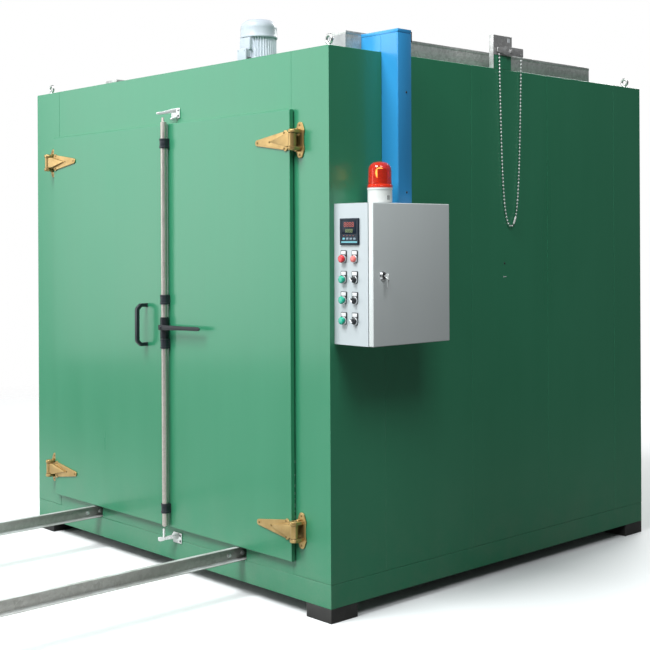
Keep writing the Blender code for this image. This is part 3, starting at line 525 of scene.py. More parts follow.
toFront, toRight = (0, -1, 0), (1, 0, 0)


def addInto(mesh, other):
    shared = bpy.data.meshes.new("shared")
    other.to_mesh(shared)
    other.free()
    mesh.from_mesh(shared)
    bpy.data.meshes.remove(shared)
    return mesh


def turnOut(mesh):  # every face looks outwards
    bmesh.ops.recalc_face_normals(mesh, faces=mesh.faces)
    return mesh


def roundEdges(mesh, width, steps=2, sharper=30, edges=None):
    mesh.normal_update()
    if edges is None:
        edges = [edge for edge in mesh.edges if edge.is_manifold
                and edge.calc_face_angle() > math.radians(sharper)]
    bmesh.ops.bevel(mesh, geom=edges, offset=width, affect="EDGES", segments=steps, profile=0.5, material=-1,
            clamp_overlap=True)
    return mesh


def slab(low, high, round=0.0, steps=2):
    mesh = bmesh.new()
    low, high = Vector(low), Vector(high)
    bmesh.ops.create_cube(mesh, size=1, matrix=Matrix.Translation((low + high) / 2)
            @ Matrix.Diagonal((*(high - low), 1)))
    return roundEdges(mesh, round, steps) if round else mesh


def lift(mesh, faces):  # walls grow from the faces to a copy, whose points are returned
    made = bmesh.ops.extrude_face_region(mesh, geom=faces, use_keep_orig=True)
    return [part for part in made["geom"] if isinstance(part, bmesh.types.BMVert)]


def liftFlat(mesh, points):  # the same from a new flat face
    return lift(mesh, [mesh.faces.new([mesh.verts.new(place) for place in points])])


def pushed(points, axis, start, end, round=0.0, steps=2):  # a flat outline pushed along an axis
    mesh = bmesh.new()
    order = {"X": lambda p: (start, p[0], p[1]), "Y": lambda p: (p[0], start, p[1]),
            "Z": lambda p: (p[0], p[1], start)}[axis]
    far = liftFlat(mesh, [order(p) for p in points])
    bmesh.ops.translate(mesh, verts=far, vec=[end - start if letter == axis else 0 for letter in "XYZ"])
    turnOut(mesh)
    return roundEdges(mesh, round, steps) if round else mesh


def spun(profile, steps=32):  # (radius, height) points turned round the z axis
    mesh = bmesh.new()
    verts = [mesh.verts.new((radius, 0, height)) for radius, height in profile]
    return turned(mesh, verts + [mesh.edges.new(pair) for pair in zip(verts, verts[1:])], steps)


def turned(mesh, parts, steps):
    bmesh.ops.spin(mesh, geom=parts, cent=(0, 0, 0), axis=(0, 0, 1), angle=math.tau, steps=steps,
            use_merge=True)
    bmesh.ops.remove_doubles(mesh, verts=mesh.verts, dist=1e-6)
    return turnOut(mesh)


def carry(mesh, matrix):
    bmesh.ops.transform(mesh, matrix=matrix, verts=mesh.verts)
    return mesh


def faceTo(mesh, place, way=(0, 0, 1), turn=0.0):  # stand a mesh drawn along +z at a place
    matrix = Vector(way).to_track_quat("Z", "Y").to_matrix().to_4x4()
    return carry(mesh, Matrix.Translation(place) @ matrix @ Matrix.Rotation(math.radians(turn), 4, "Z"))


def loft(rings):  # rings of points joined into one closed skin
    mesh = bmesh.new()
    loops = []
    for ring in rings:
        verts = [mesh.verts.new(place) for place in ring]
        loops.append([mesh.edges.new(pair) for pair in zip(verts, verts[1:] + verts[:1])])
        if len(loops) > 1:
            bmesh.ops.bridge_loops(mesh, edges=loops[-2] + loops[-1])
    bmesh.ops.holes_fill(mesh, edges=loops[0] + loops[-1], sides=0)
    return turnOut(mesh)


def sweep(path, section, up):  # a section carried along a path
    path = [Vector(place) for place in path]
    rings = []
    for number, place in enumerate(path):
        way = (path[min(number + 1, len(path) - 1)] - path[max(number - 1, 0)]).normalized()
        side = way.cross(Vector(up)).normalized()
        top = side.cross(way).normalized()
        rings.append([place + side * a + top * b for a, b in section])
    return loft(rings)


def arcPoints(centre, radius, first, last, steps):
    angles = [math.radians(first + (last - first) * step / steps) for step in range(steps + 1)]
    return [(centre[0] + radius * math.cos(angle), centre[1] + radius * math.sin(angle)) for angle in angles]


def roundedCorners(points, radius, steps=4):  # an outline with its corners turned into arcs
    made = []
    for number, corner in enumerate(points):
        corner = Vector(corner)
        before = Vector(points[number - 1]) - corner
        after = Vector(points[(number + 1) % len(points)]) - corner
        cut = min(radius, before.length * 0.45, after.length * 0.45)
        first = corner + before.normalized() * cut
        last = corner + after.normalized() * cut
        for t in (step / steps for step in range(steps + 1)):
            made.append(tuple(first * (1 - t) ** 2 + corner * 2 * t * (1 - t) + last * t ** 2))
    return made


def rectangle(low, high):
    return [low, (high[0], low[1]), high, (low[0], high[1])]


def screw(place, way, radius=0.0042, height=0.0022, turn=20.0):  # pan head with a cross recess
    mesh = spun([(0, height * 0.35), (radius * 0.42, height * 0.45), (radius * 0.46, height),
            (radius * 0.78, height * 0.86), (radius, height * 0.35), (radius, 0), (0, 0)], 16)
    for vert in mesh.verts:
        if abs(vert.co.xy.length - radius * 0.46) < radius * 0.03:
            step = round(math.atan2(vert.co.y, vert.co.x) / (math.tau / 16)) % 4
            if step:
                vert.co.xy *= 0.36 if step == 2 else 0.48
    return faceTo(mesh, place, way, turn)


def hexBolt(place, way, size=0.01, height=0.005, washer=0.0, turn=12.0):
    mesh = bmesh.new()
    base = 0.0014 if washer else 0.0
    bmesh.ops.create_cone(mesh, segments=6, radius1=size / 2 * 1.15, radius2=size / 2 * 1.15, depth=height,
            cap_ends=True, matrix=Matrix.Translation((0, 0, base + height / 2)))
    top = [edge for edge in mesh.edges if all(v.co.z > base + height * 0.9 for v in edge.verts)]
    roundEdges(mesh, size * 0.07, 2, edges=top)
    if washer:
        addInto(mesh, spun([(0, 0), (washer, 0), (washer, base * 0.6), (washer * 0.94, base), (0, base)], 20))
    return faceTo(mesh, place, way, turn)


def mirrorSide(mesh, side):
    if side < 0:
        bmesh.ops.scale(mesh, vec=(-1, 1, 1), verts=mesh.verts)
        bmesh.ops.reverse_faces(mesh, faces=mesh.faces)
    return mesh


def makePiece(name, mesh, finish, slot, *nodes, body="housing", smooth=35, clean=True):
    if clean:
        bmesh.ops.remove_doubles(mesh, verts=mesh.verts, dist=1e-6)
    bmesh.ops.translate(mesh, verts=mesh.verts, vec=origin)
    data = bpy.data.meshes.new(name)
    mesh.to_mesh(data)
    mesh.free()
    if smooth:
        data.shade_smooth()
        data.set_sharp_from_angle(angle=math.radians(smooth))
    data.materials.append(finishes[finish])
    piece = bpy.data.objects.new(name, data)
    bpy.context.scene.collection.objects.link(piece)
    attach(piece, body)
    if nodes:
        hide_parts(*nodes)


# strap hinges

pinX = halfWidth - 0.16
hinge = {
    "heights": {"top": roofTop - 0.337, "bottom": baseTop + 0.174},
    "pinY": -0.036,
    "plateBack": -0.0233,
    "sheet": 0.005,
    "length": 0.226,
    "halfWidth": 0.0395,
    "ribLength": 0.13,
    "ribHeight": (0.006, 0.017),               # at its point, at the knuckle
    "knuckle": (0.0145, 0.049),
    "ear": (0.0175, 0.014),
    "bracket": (0.05, 0.135, 0.005, 0.006),    # width, height, sheet, shift
    "screw": 0.0046,
}


def screwInto(screws, place, turn):
    addInto(screws, screw(place, toFront, hinge["screw"], 0.0014, turn))


def makeStrap(side, row):
    height = hinge["heights"][row]
    back = hinge["plateBack"]
    front = back - hinge["sheet"]
    wide = hinge["halfWidth"]
    outline = arcPoints((-hinge["length"] + 0.0115, 0), 0.0115, 100, 260, 12)
    outline += roundedCorners([(-0.058, -wide), (-0.046, -wide), (-0.033, -wide + 0.013), (-0.026, -0.018),
            (-0.026, 0.018), (-0.033, wide - 0.013), (-0.046, wide), (-0.058, wide)], 0.005, 3)
    outline = [(pinX + x, height + z) for x, z in outline]
    mesh = pushed(outline, "Y", back, front, 0.0022, 3)

    knuckle, tall = hinge["knuckle"]
    tip = pinX - hinge["ribLength"]
    rib = bmesh.new()  # wedge that rises from its point to the knuckle
    thin, thick = hinge["ribHeight"]
    floorPoints = [(tip, height - 0.001), (pinX - 0.036, height - tall / 2), (pinX, height - tall / 2),
            (pinX, height + tall / 2), (pinX - 0.036, height + tall / 2), (tip, height + 0.001)]
    for vert in liftFlat(rib, [(x, front + 0.001, z) for x, z in floorPoints]):
        along = (vert.co.x - tip) / (pinX - tip)
        vert.co.y = front - thin - (thick - thin) * along
        vert.co.z += (height - vert.co.z) * 0.05
    addInto(mesh, roundEdges(turnOut(rib), 0.0017, 3))

    barrel = spun([(0.0062, -tall / 2), (knuckle - 0.0012, -tall / 2), (knuckle, -tall / 2 + 0.0012),
            (knuckle, tall / 2 - 0.0012), (knuckle - 0.0012, tall / 2), (0.0062, tall / 2),
            (0.0062, -tall / 2)], 40)
    addInto(mesh, faceTo(barrel, (pinX, hinge["pinY"], height)))
    screws = bmesh.new()
    for x, z in ((-hinge["length"] + 0.015, 0), (-hinge["ribLength"] - 0.011, 0), (-0.056, wide - 0.0095),
            (-0.056, -wide + 0.0095)):
        screwInto(screws, (pinX + x, front, height + z), 25 + 900 * z)
    return mirrorSide(mesh, side), mirrorSide(screws, side)


def makeBracket(side, row):
    height = hinge["heights"][row]
    width, tall, sheet, shift = hinge["bracket"]
    middle = pinX + shift
    wide, half = width / 2, tall / 2
    right = [(0.011, half), (wide - 0.004, half - 0.024), (wide, half - 0.033), (wide - 0.004, half - 0.046),
            (wide - 0.004, 0.046 - half), (wide, 0.033 - half), (wide - 0.004, 0.024 - half), (0.011, -half)]
    outline = [(middle + x, height + z) for x, z in right]
    outline += [(middle - x, height - z) for x, z in right]
    mesh = pushed(roundedCorners(outline, 0.011, 4), "Y", -seat, -seat - sheet, 0.0022, 3)
    inner = hinge["knuckle"][1] / 2 + 0.001
    reach, thick = hinge["ear"]
    for sign in (-1, 1):
        ear = spun([(0.0058, 0), (reach - 0.001, 0), (reach, 0.001), (reach, thick - 0.0034),
                (reach - 0.001, thick - 0.0016), (reach - 0.0034, thick), (0.0066, thick),
                (0.0058, thick - 0.0008), (0.0058, 0)], 40)
        addInto(mesh, faceTo(ear, (pinX, hinge["pinY"], height + sign * inner), (0, 0, sign)))
        ends = sorted((height + sign * (inner + 0.0002), height + sign * (inner + thick - 0.0022)))
        addInto(mesh, slab((pinX - reach + 0.0006, hinge["pinY"] + 0.004, ends[0]),
                (pinX + reach - 0.0006, -seat - 0.002, ends[1]), 0.0012, 2))
        addInto(mesh, slab((pinX - 0.0065, -0.022, height + sign * (inner + thick) - 0.004),
                (pinX + 0.0065, -seat - 0.003, height + sign * (inner + thick) + 0.004), 0.003, 3))
    reachUp = inner + thick - 0.0022
    pin = faceTo(spun([(0, -reachUp), (0.0048, -reachUp), (0.0057, -reachUp + 0.001),
            (0.0057, reachUp - 0.001), (0.0048, reachUp), (0, reachUp)], 24), (pinX, hinge["pinY"], height))
    for z in (half - 0.0125, 0.0125 - half):
        screwInto(pin, (middle, -seat - sheet, height + z), 40)
    return mirrorSide(mesh, side), mirrorSide(pin, side)


def makeHinges():
    for name, side in (("left", -1), ("right", 1)):
        for row in ("top", "bottom"):
            strap, screws = makeStrap(side, row)
            makePiece(f"{name}HingeStrap{row.title()}", strap, "gold", "gold_plate", f"{name}_strap_{row}",
                    body=f"{name}_door")
            makePiece(f"{name}HingeScrews{row.title()}", screws, "darkGold", "gold_plate",
                    body=f"{name}_door")
            bracket, pin = makeBracket(side, row)
            makePiece(f"{name}HingeBracket{row.title()}", bracket, "gold", "gold_plate",
                    f"{name}_bracket_{row}")
            makePiece(f"{name}HingePin{row.title()}", pin, "darkGold", "gold_plate")
    print("hinges done")


# lock rod, lever, guides and keepers

leafFace = -0.023
doorTop = roofTop - 0.219
doorBottom = baseTop + 0.0535
railTop = baseTop + seat + 0.05
hub = doorBottom + 0.835
lock = {
    "x": 0.07,
    "y": leafFace - 0.0185,
    "radius": 0.0125,
    "top": doorTop + 0.006,
    "bottom": railTop + 0.012,
    "cam": (0.0135, 0.006, 0.02, 0.006),      # width, sheet, height above, height below
    "guides": {"top": doorTop - 0.083, "upper": hub + 0.1185, "lower": hub - 0.0665,
        "bottom": doorBottom + 0.081},
    "guide": (0.04, 0.04, 0.0045),            # lug's reach, height, wall over the rod
    "hub": (0.09, 0.0045),
    "lever": (0.27, 0.022, 0.016, 0.0065),    # length, height at hub, height at tip, rise
}


def makeRod():
    x, y, radius = lock["x"], lock["y"], lock["radius"]
    low, high = lock["bottom"], lock["top"]
    wall = radius - 0.0022
    mesh = spun([(0, low + 0.03), (wall, low + 0.03), (wall, low), (radius - 0.0006, low),
            (radius, low + 0.0006), (radius, high - 0.0006), (radius - 0.0006, high), (wall, high),
            (wall, high - 0.03), (0, high - 0.03)], 40)
    faceTo(mesh, (x, y, 0))
    width, sheet, above, below = lock["cam"]
    left = x - radius + 0.001
    for end, sign, height in ((high, 1, above), (low, -1, below)):
        tip = end + sign * height
        root = end - sign * 0.028
        outline = [(left, end), (left + 0.0012, root), (x + wall - 0.001, root),
                (x + wall - 0.001, end - sign * 0.002), (left + width, end + sign * 0.001),
                (left + width, tip), (left, tip)]
        addInto(mesh, pushed(outline, "Y", y - sheet / 2, y + sheet / 2, 0.0009, 2))
    return mesh


def makeLever():
    x, y, radius = lock["x"], lock["y"], lock["radius"]
    tall, wall = lock["hub"]
    length, rootTall, tipTall, rise = lock["lever"]
    inner = radius + seat
    sleeve = inner + wall
    low, high = hub - tall / 2, hub + tall / 2
    mesh = spun([(inner, low), (sleeve - 0.001, low), (sleeve, low + 0.001), (sleeve, high - 0.001),
            (sleeve - 0.001, high), (inner, high), (inner, low)], 40)
    faceTo(mesh, (x, y, 0))
    front = y - sleeve - 0.005
    root = hub + rootTall * 0.1
    rings = []  # of the forged bar: deep at the hub, slightly bowed, rounded end
    for reach in (-0.014, 0.0, 0.016, 0.04, 0.08, 0.12, 0.16, 0.2, 0.24, 0.256, 0.265, length):
        along = max(0, reach) / length
        middle = root + rise * along
        half = (rootTall + (tipTall - rootTall) * min(1, along * 1.6)) / 2
        end = max(0, reach - 0.252) / (length - 0.252)
        half *= math.sqrt(max(0.06, 1 - end * end))
        bow = 0.0025 * math.sin(math.pi * along)
        thick = 0.008 * (1 - 0.3 * end)
        near = front + bow
        corners = rectangle((near, middle - half), (near + thick, middle + half))
        rings.append([(x + reach, y0, z0) for y0, z0 in corners])
    addInto(mesh, roundEdges(loft(rings), 0.0022, 3, 50))
    addInto(mesh, hexBolt((x + 0.002, front + 0.0005, root), toFront, 0.01, 0.004))
    return mesh


def makeGuide(name):
    x, y = lock["x"], lock["y"]
    lug, tall, wall = lock["guide"]
    middle = lock["guides"][name]
    low, high = middle - tall / 2, middle + tall / 2
    back = leafFace - seat
    bore = lock["radius"] + 0.0005
    outer = bore + wall
    plate = rectangle((x - lug, low), (x + outer, high))
    mesh = pushed(roundedCorners(plate, 0.005, 4), "Y", back, back - 0.004, 0.001, 2)
    for start, end, grow in ((low, low + 0.009, 0), (low + 0.008, high - 0.008, -0.0013),
            (high - 0.009, high, 0)):
        reach = outer + grow
        outline = arcPoints((x, y), reach, 180, 360, 20) + [(x + reach, back - 0.002)]
        outline += [(x + bore, back - 0.002)] + arcPoints((x, y), bore, 360, 180, 20)
        outline += [(x - bore, back - 0.002), (x - reach, back - 0.002)]
        addInto(mesh, pushed(outline, "Z", start, end, 0.0006, 2))
    for z in (low + 0.0085, high - 0.0085):
        addInto(mesh, screw((x - lug + 0.009, back - 0.004, z), toFront, 0.005, 0.004, 30))
    return mesh


keeper = {
    "plate": (0.06, 0.043, 0.004),    # width, height, sheet
    "low": {"top": roofTop - 0.198, "bottom": baseTop - 0.0115},
    "reach": (0.07, 0.03),            # long horn, short horn
    "horn": 0.011,
}


def makeHorn(root, points):  # a forged horn through (way left of its root, y, z, half height) stations
    rings = []
    for number, (left, y, z, tall) in enumerate(points):
        x = root - left
        wide = keeper["horn"] / 2 * (1 if number < len(points) - 1 else 0.7)
        rings.append([(x0, y, z0) for x0, z0 in rectangle((x - wide, z - tall), (x + wide, z + tall))])
    return roundEdges(loft(rings), 0.0022, 3, 50)


def makeKeeper(row):
    width, tall, sheet = keeper["plate"]
    low = keeper["low"][row]
    high = low + tall
    plateX = lock["x"] + 0.003
    front = -seat - sheet
    corners = rectangle((plateX, low), (plateX + width, high))
    mesh = pushed(roundedCorners(corners, 0.005, 4), "Y", -seat, front, 0.001, 2)
    long, short = keeper["reach"]
    rootX, tipX = lock["x"] + 0.035, lock["x"] - 0.009
    shortRootX = lock["x"] + 0.043
    back = front + 0.001
    if row == "top":
        tip = max(high - 0.027, lock["top"] + 0.026)
        longHorn = ((0, back, high - 0.009, 0.009), (0.008, -0.018, high - 0.0115, 0.008),
                (0.032, -long + 0.018, tip + 0.0062, 0.0058), (0.042, -long + 0.004, tip + 0.005, 0.005),
                (0.044, -long, tip + 0.005, 0.0034))
        shortHorn = ((0, back, low + 0.006, 0.0055), (0.007, -short + 0.006, low - 0.002, 0.005),
                (0.008, -short, low - 0.003, 0.0034))
    else:
        longHorn = ((0, back, high - 0.015, 0.009), (0.008, -0.018, high - 0.0155, 0.0085),
                (0.03, -long + 0.022, low + 0.021, 0.0058), (0.038, -long + 0.01, low + 0.019, 0.0088),
                (0.043, -long + 0.002, low + 0.019, 0.0088), (0.044, -long, low + 0.019, 0.006))
        shortHorn = ((0, back, high - 0.0055, 0.005), (0.007, -short + 0.006, high - 0.0035, 0.0048),
                (0.008, -short, high - 0.003, 0.0034))
    addInto(mesh, makeHorn(rootX, longHorn))
    addInto(mesh, makeHorn(shortRootX, shortHorn))
    if row == "bottom":
        lugX, lugY = tipX + (rootX - tipX) * 0.27, -long * 0.72
        addInto(mesh, slab((lugX - 0.0053, lugY - 0.0028, low + 0.022),
                (lugX + 0.0053, lugY + 0.0028, railTop), 0.0012, 2))
    screws = bmesh.new()
    for z in (low + 0.0105, high - 0.0105):
        addInto(screws, screw((plateX + width - 0.009, front, z), toFront, 0.005, 0.002, 15))
    return mesh, screws


def makeLock():
    makePiece("lockRod", makeRod(), "rod", "galvanised", "lock_rod", body="lock")
    # painted shade: the lever takes the darker copy of the black paint, with a painted highlight on its edges
    makePiece("lockLever", makeLever(), "leverPaint", "black_paint", "lock_lever", body="lock")
    for name in lock["guides"]:
        makePiece(f"rodGuide{name.title()}", makeGuide(name), "blackCast", "black_paint", f"rod_guide_{name}",
                body="right_door")
    for row in keeper["low"]:
        mesh, screws = makeKeeper(row)
        makePiece(f"keeper{row.title()}", mesh, "brightZinc", "galvanised", f"keeper_{row}")
        makePiece(f"keeperScrews{row.title()}", screws, "darkSteel", "galvanised")
    print("lock done")


# pull handle

handle = {"x": -0.085, "middle": doorBottom + 0.841, "length": 0.182, "bar": 0.015, "reach": 0.0565,
        "cut": 0.015}


def makeHandle():
    near = leafFace - seat
    far = leafFace - handle["reach"] + handle["bar"] / 2
    low = handle["middle"] - handle["length"] / 2 + handle["bar"] / 2
    high = handle["middle"] + handle["length"] / 2 - handle["bar"] / 2
    cut = handle["cut"]
    x = handle["x"]
    path = [(x, near, low), (x, far + cut + 0.002, low), (x, far + 0.001, low + cut),
            (x, far, low + cut + 0.004), (x, far, high - cut - 0.004), (x, far + 0.001, high - cut),
            (x, far + cut + 0.002, high), (x, near, high)]
    half = handle["bar"] / 2
    mesh = roundEdges(sweep(path, rectangle((-half, -half), (half, half)), toRight), 0.0022, 3, 60)
    for z in (low, high):
        addInto(mesh, slab((x - half - 0.001, near - 0.004, z - half - 0.001),
                (x + half + 0.001, near, z + half + 0.001), 0.001))
    makePiece("pullHandle", mesh, "blackCast", "black_paint", "pull_handle", body="left_door")
    print("handle done")


# rails

rail = {
    "webs": {"left": -0.5205, "right": 0.5095},
    "height": 0.05,
    "width": 0.037,
    "lip": 0.022,
    "sheet": 0.003,
    "bend": 0.005,
    "reach": 1.5,
    "pocket": 0.0597,
}


def makeRail(name):
    web = rail["webs"][name]
    low = baseTop + seat
    high = low + rail["height"]
    far = web + rail["width"]
    sheet, bend = rail["sheet"], rail["bend"]
    outline = [(far, low), (far, low + sheet)]
    outline += arcPoints((web + bend, low + bend), bend - sheet, 270, 180, 4)
    outline += arcPoints((web + bend, high - bend), bend - sheet, 180, 90, 4)
    outline += [(web + rail["lip"], high - sheet), (web + rail["lip"], high)]
    outline += arcPoints((web + bend, high - bend), bend, 90, 180, 5)
    outline += arcPoints((web + bend, low + bend), bend, 180, 270, 5)
    return pushed(outline, "Y", -rail["reach"], rail["pocket"], 0.0005, 1)


def makeRails():
    for name in rail["webs"]:
        makePiece(f"{name}Rail", makeRail(name), "railZinc", "galvanised", f"outer_rail_{name}")
        bolts = bmesh.new()
        for y, z in ((-0.053, 0.021), (0.014, 0.021)):
            place = (rail["webs"][name] + rail["sheet"], y, baseTop + z)
            addInto(bolts, hexBolt(place, toRight, 0.013, 0.006, 0.0095))
        makePiece(f"{name}RailBolts", bolts, "brightZinc", "galvanised")
    print("rails done")


# control box and its operators

boxFront = 0.023
boxBack = 0.427
boxTop = roofTop - 0.577
boxBottom = boxTop - 0.51
boxSide = halfWidth + 0.2
boxSplit = boxSide - 0.022      # where the box ends and its door begins
panel = {
    "sheet": 0.002,
    "corner": 0.003,
    "columns": (halfWidth + 0.052, halfWidth + 0.109),
    "rows": [boxTop - 0.2 - 0.0742 * row for row in range(4)],
    "holder": (0.03, 0.046, 0.003),      # width, top above the centre, sheet
    "ring": (0.0145, 0.0118, 0.0045),    # outside, bore, height
    "cap": (0.014, 0.0092, 0.017),       # radius, underside, top
    "gap": 0.0035,                       # between the box and its door
    "label": (0.0235, 0.0125),
    "lock": (boxFront + 0.048, boxTop - 0.26),
}


def openBox(low, high, sheet, side):  # a sheet box, open on the side towards +x or -x
    mesh = slab(low, high)
    mesh.normal_update()
    mouth = [face for face in mesh.faces if face.normal.x * side > 0.9]
    bmesh.ops.inset_region(mesh, faces=mouth, thickness=sheet, use_boundary=True, use_even_offset=True)
    bmesh.ops.translate(mesh, verts=lift(mesh, mouth), vec=(side * (low[0] - high[0] + sheet), 0, 0))
    bmesh.ops.delete(mesh, geom=mouth, context="FACES_ONLY")
    return turnOut(mesh)


def boxStrips(x, inset, front, wide, round, steps):  # four strips round the mouth of the box
    mesh = bmesh.new()
    y0, y1, z0, z1 = boxFront + inset[0], boxBack - inset[1], boxBottom + inset[1], boxTop - inset[1]
    for y, z in (((y0, y1), (z1 - wide, z1)), ((y0, y1), (z0, z0 + wide)),
            ((y0, y0 + front), (z0 + wide, z1 - wide)), ((y1 - wide, y1), (z0 + wide, z1 - wide))):
        addInto(mesh, slab((x[0], y[0], z[0]), (x[1], y[1], z[1]), round, steps))
    return mesh


def makeShell():
    end = boxSplit - panel["gap"]
    mesh = openBox((halfWidth + seat, boxFront, boxBottom), (end, boxBack, boxTop), panel["sheet"], 1)
    outer = [edge for edge in mesh.edges if abs(edge.verts[0].co.x - edge.verts[1].co.x) > 0.15
            and abs(edge.verts[0].co.x + edge.verts[1].co.x - boxSplit - halfWidth) < 0.0008]
    roundEdges(mesh, panel["corner"], 4, edges=outer)
    makePiece("controlBoxShell", mesh, "boxPaint", "grey_paint", "control_box")
    rim = boxStrips((boxSplit - 0.012, boxSplit - 0.0008), (0.006, 0.002), 0.01, 0.014, 0.001, 1)
    makePiece("controlBoxRim", rim, "boxPaint", "grey_paint")
    plate = slab((halfWidth + 0.006, boxFront + 0.03, boxBottom + 0.03),
            (halfWidth + 0.008, boxBack - 0.03, boxTop - 0.03), 0.0008, 1)
    makePiece("controlBoxBackPlate", plate, "zinc", "galvanised")


def makeBoxDoor():
    mesh = openBox((boxSplit, boxFront, boxBottom), (boxSide, boxBack, boxTop), panel["sheet"], -1)
    outer = [edge for edge in mesh.edges if all(v.co.x > boxSide - 0.0001 for v in edge.verts)
            or (abs(edge.verts[0].co.x - edge.verts[1].co.x) > 0.02
            and (edge.verts[0].co.y < boxFront + 0.001 or edge.verts[0].co.y > boxBack - 0.001))]
    roundEdges(mesh, panel["corner"], 4, edges=outer)
    # painted light: the door's lighter copy of the box grey offsets the weaker light on its side
    makePiece("controlBoxDoor", mesh, "boxDoorPaint", "grey_paint", "control_box_door", body="box_door")
    seal = boxStrips((boxSplit + 0.003, boxSplit + 0.02), (0.004, 0.004), 0.009, 0.009, 0.0015, 2)
    makePiece("controlBoxSeal", seal, "rubber", "black_plastic", body="box_door")

    y, z = panel["lock"]
    barrel = spun([(0.0088, 0), (0.016, 0), (0.016, 0.0015), (0.0142, 0.0034), (0.0142, 0.0062),
            (0.0128, 0.0074), (0.0096, 0.0074), (0.0088, 0.0062), (0.0088, 0)], 36)
    makePiece("boxLock", faceTo(barrel, (boxSide, y, z), toRight), "chrome", "grey_paint", body="box_door")
    plug = spun([(0, 0), (0.0086, 0), (0.0086, 0.0052), (0.0078, 0.006), (0, 0.006)], 32)
    makePiece("boxLockPlug", faceTo(plug, (boxSide, y, z), toRight), "darkSteel", "grey_paint",
            body="box_door")
    bow = [(0.0075, -0.0032), (0.016, -0.0032), (0.0175, -0.0085), (0.024, -0.012), (0.0295, -0.0085),
            (0.0305, 0.0), (0.0295, 0.0065), (0.024, 0.0092), (0.0175, 0.007), (0.016, 0.0032),
            (0.0075, 0.0032)]
    outline = roundedCorners([(boxSide + a, z + b) for a, b in bow], 0.002, 3)
    key = pushed(outline, "Y", y - 0.00115, y + 0.00115, 0.0004, 1)
    loop = spun([(0.004, -0.0006), (0.0052, -0.0006), (0.0052, 0.0006), (0.004, 0.0006), (0.004, -0.0006)],
            20)
    addInto(key, faceTo(loop, (boxSide + 0.026, y + 0.0005, z - 0.0085), (0.5, 0, 0.87)))
    spare = roundedCorners([(y - 0.004, z - 0.012), (y + 0.005, z - 0.012), (y + 0.005, z - 0.0215),
            (y + 0.0025, z - 0.0225), (y + 0.0025, z - 0.044), (y - 0.0015, z - 0.044),
            (y - 0.0015, z - 0.0225), (y - 0.004, z - 0.0215)], 0.0008, 2)
    addInto(key, pushed(spare, "X", boxSide + 0.025, boxSide + 0.0268, 0.0003, 1))
    makePiece("boxKey", key, "brightZinc", "grey_paint", body="box_door")

    hinges = bmesh.new()
    for height in (boxTop - 0.07, boxBottom + 0.07):
        leaf = spun([(0, -0.02), (0.0034, -0.02), (0.0034, 0.02), (0, 0.02)], 16)
        addInto(hinges, faceTo(leaf, (boxSplit, boxBack - 0.004, height)))
    makePiece("boxHingePins", hinges, "bolt", "grey_paint")


def makeHolder(x, z):
    width, top, sheet = panel["holder"]
    outline = arcPoints((x, z), width / 2, 180, 360, 20)
    high = z + top - width / 2
    outline += arcPoints((x + width / 2 - 0.003, high - 0.003), 0.003, 0, 90, 3)
    outline += arcPoints((x - width / 2 + 0.003, high - 0.003), 0.003, 90, 180, 3)
    return pushed(outline, "Y", boxFront, boxFront - sheet, 0.0006, 2)


def makeOperators():
    width, top, sheet = panel["holder"]
    outer, bore, tall = panel["ring"]
    face = boxFront - sheet
    holders, bezels, labels = bmesh.new(), bmesh.new(), bmesh.new()
    for column, x in enumerate(panel["columns"]):
        for row, z in enumerate(panel["rows"]):
            addInto(holders, makeHolder(x, z))
            high = z + top - width / 2
            wide, thick = panel["label"]
            addInto(labels, slab((x - wide / 2, face - 0.0011, high - 0.0028 - thick),
                    (x + wide / 2, face + 0.001, high - 0.0028), 0.0005, 2))
            ring = spun([(bore, 0), (outer, 0), (outer, tall - 0.003), (outer - 0.0009, tall - 0.0006),
                    (bore + 0.0006, tall), (bore, tall - 0.0006), (bore, 0)], 36)
            addInto(bezels, faceTo(ring, (x, face, z), toFront))
            if column == 0:
                wideCap, under, cap = panel["cap"]
                stem = bore - 0.0005
                button = spun([(0, 0.0045), (stem, 0.0045), (stem, under), (wideCap - 0.0008, under),
                        (wideCap, under + 0.001), (wideCap, cap - 0.0042), (wideCap - 0.001, cap - 0.0018),
                        (wideCap - 0.0032, cap - 0.0004), (wideCap - 0.006, cap), (0, cap)], 36)
                colour = "green" if row else "red"
                makePiece(f"buttonCap{row + 1}", faceTo(button, (x, face, z), toFront), f"{colour}Button",
                        f"{colour}_button", f"push_button_{row + 1}", body=f"button_{row + 1}")
            elif row == 0:
                dome = [(bore * math.cos(angle), tall + 0.005 + 0.0036 * math.sin(angle))
                        for angle in map(math.radians, (20, 40, 60, 80))]
                lamp = spun([(0, 0.003), (bore, 0.003), (bore, tall + 0.005), *dome, (0, tall + 0.0086)], 36)
                makePiece("signalLamp", faceTo(lamp, (x, face, z), toFront), "pinkLamp", "red_lens")
            else:
                makeSelector(row, x, z, face, bore, tall)
    makePiece("operatorHolders", holders, "blackPlastic", "black_plastic")
    makePiece("operatorBezels", bezels, "satinRing", "grey_paint")
    makePiece("operatorLabels", labels, "labelCard", "white_plastic")


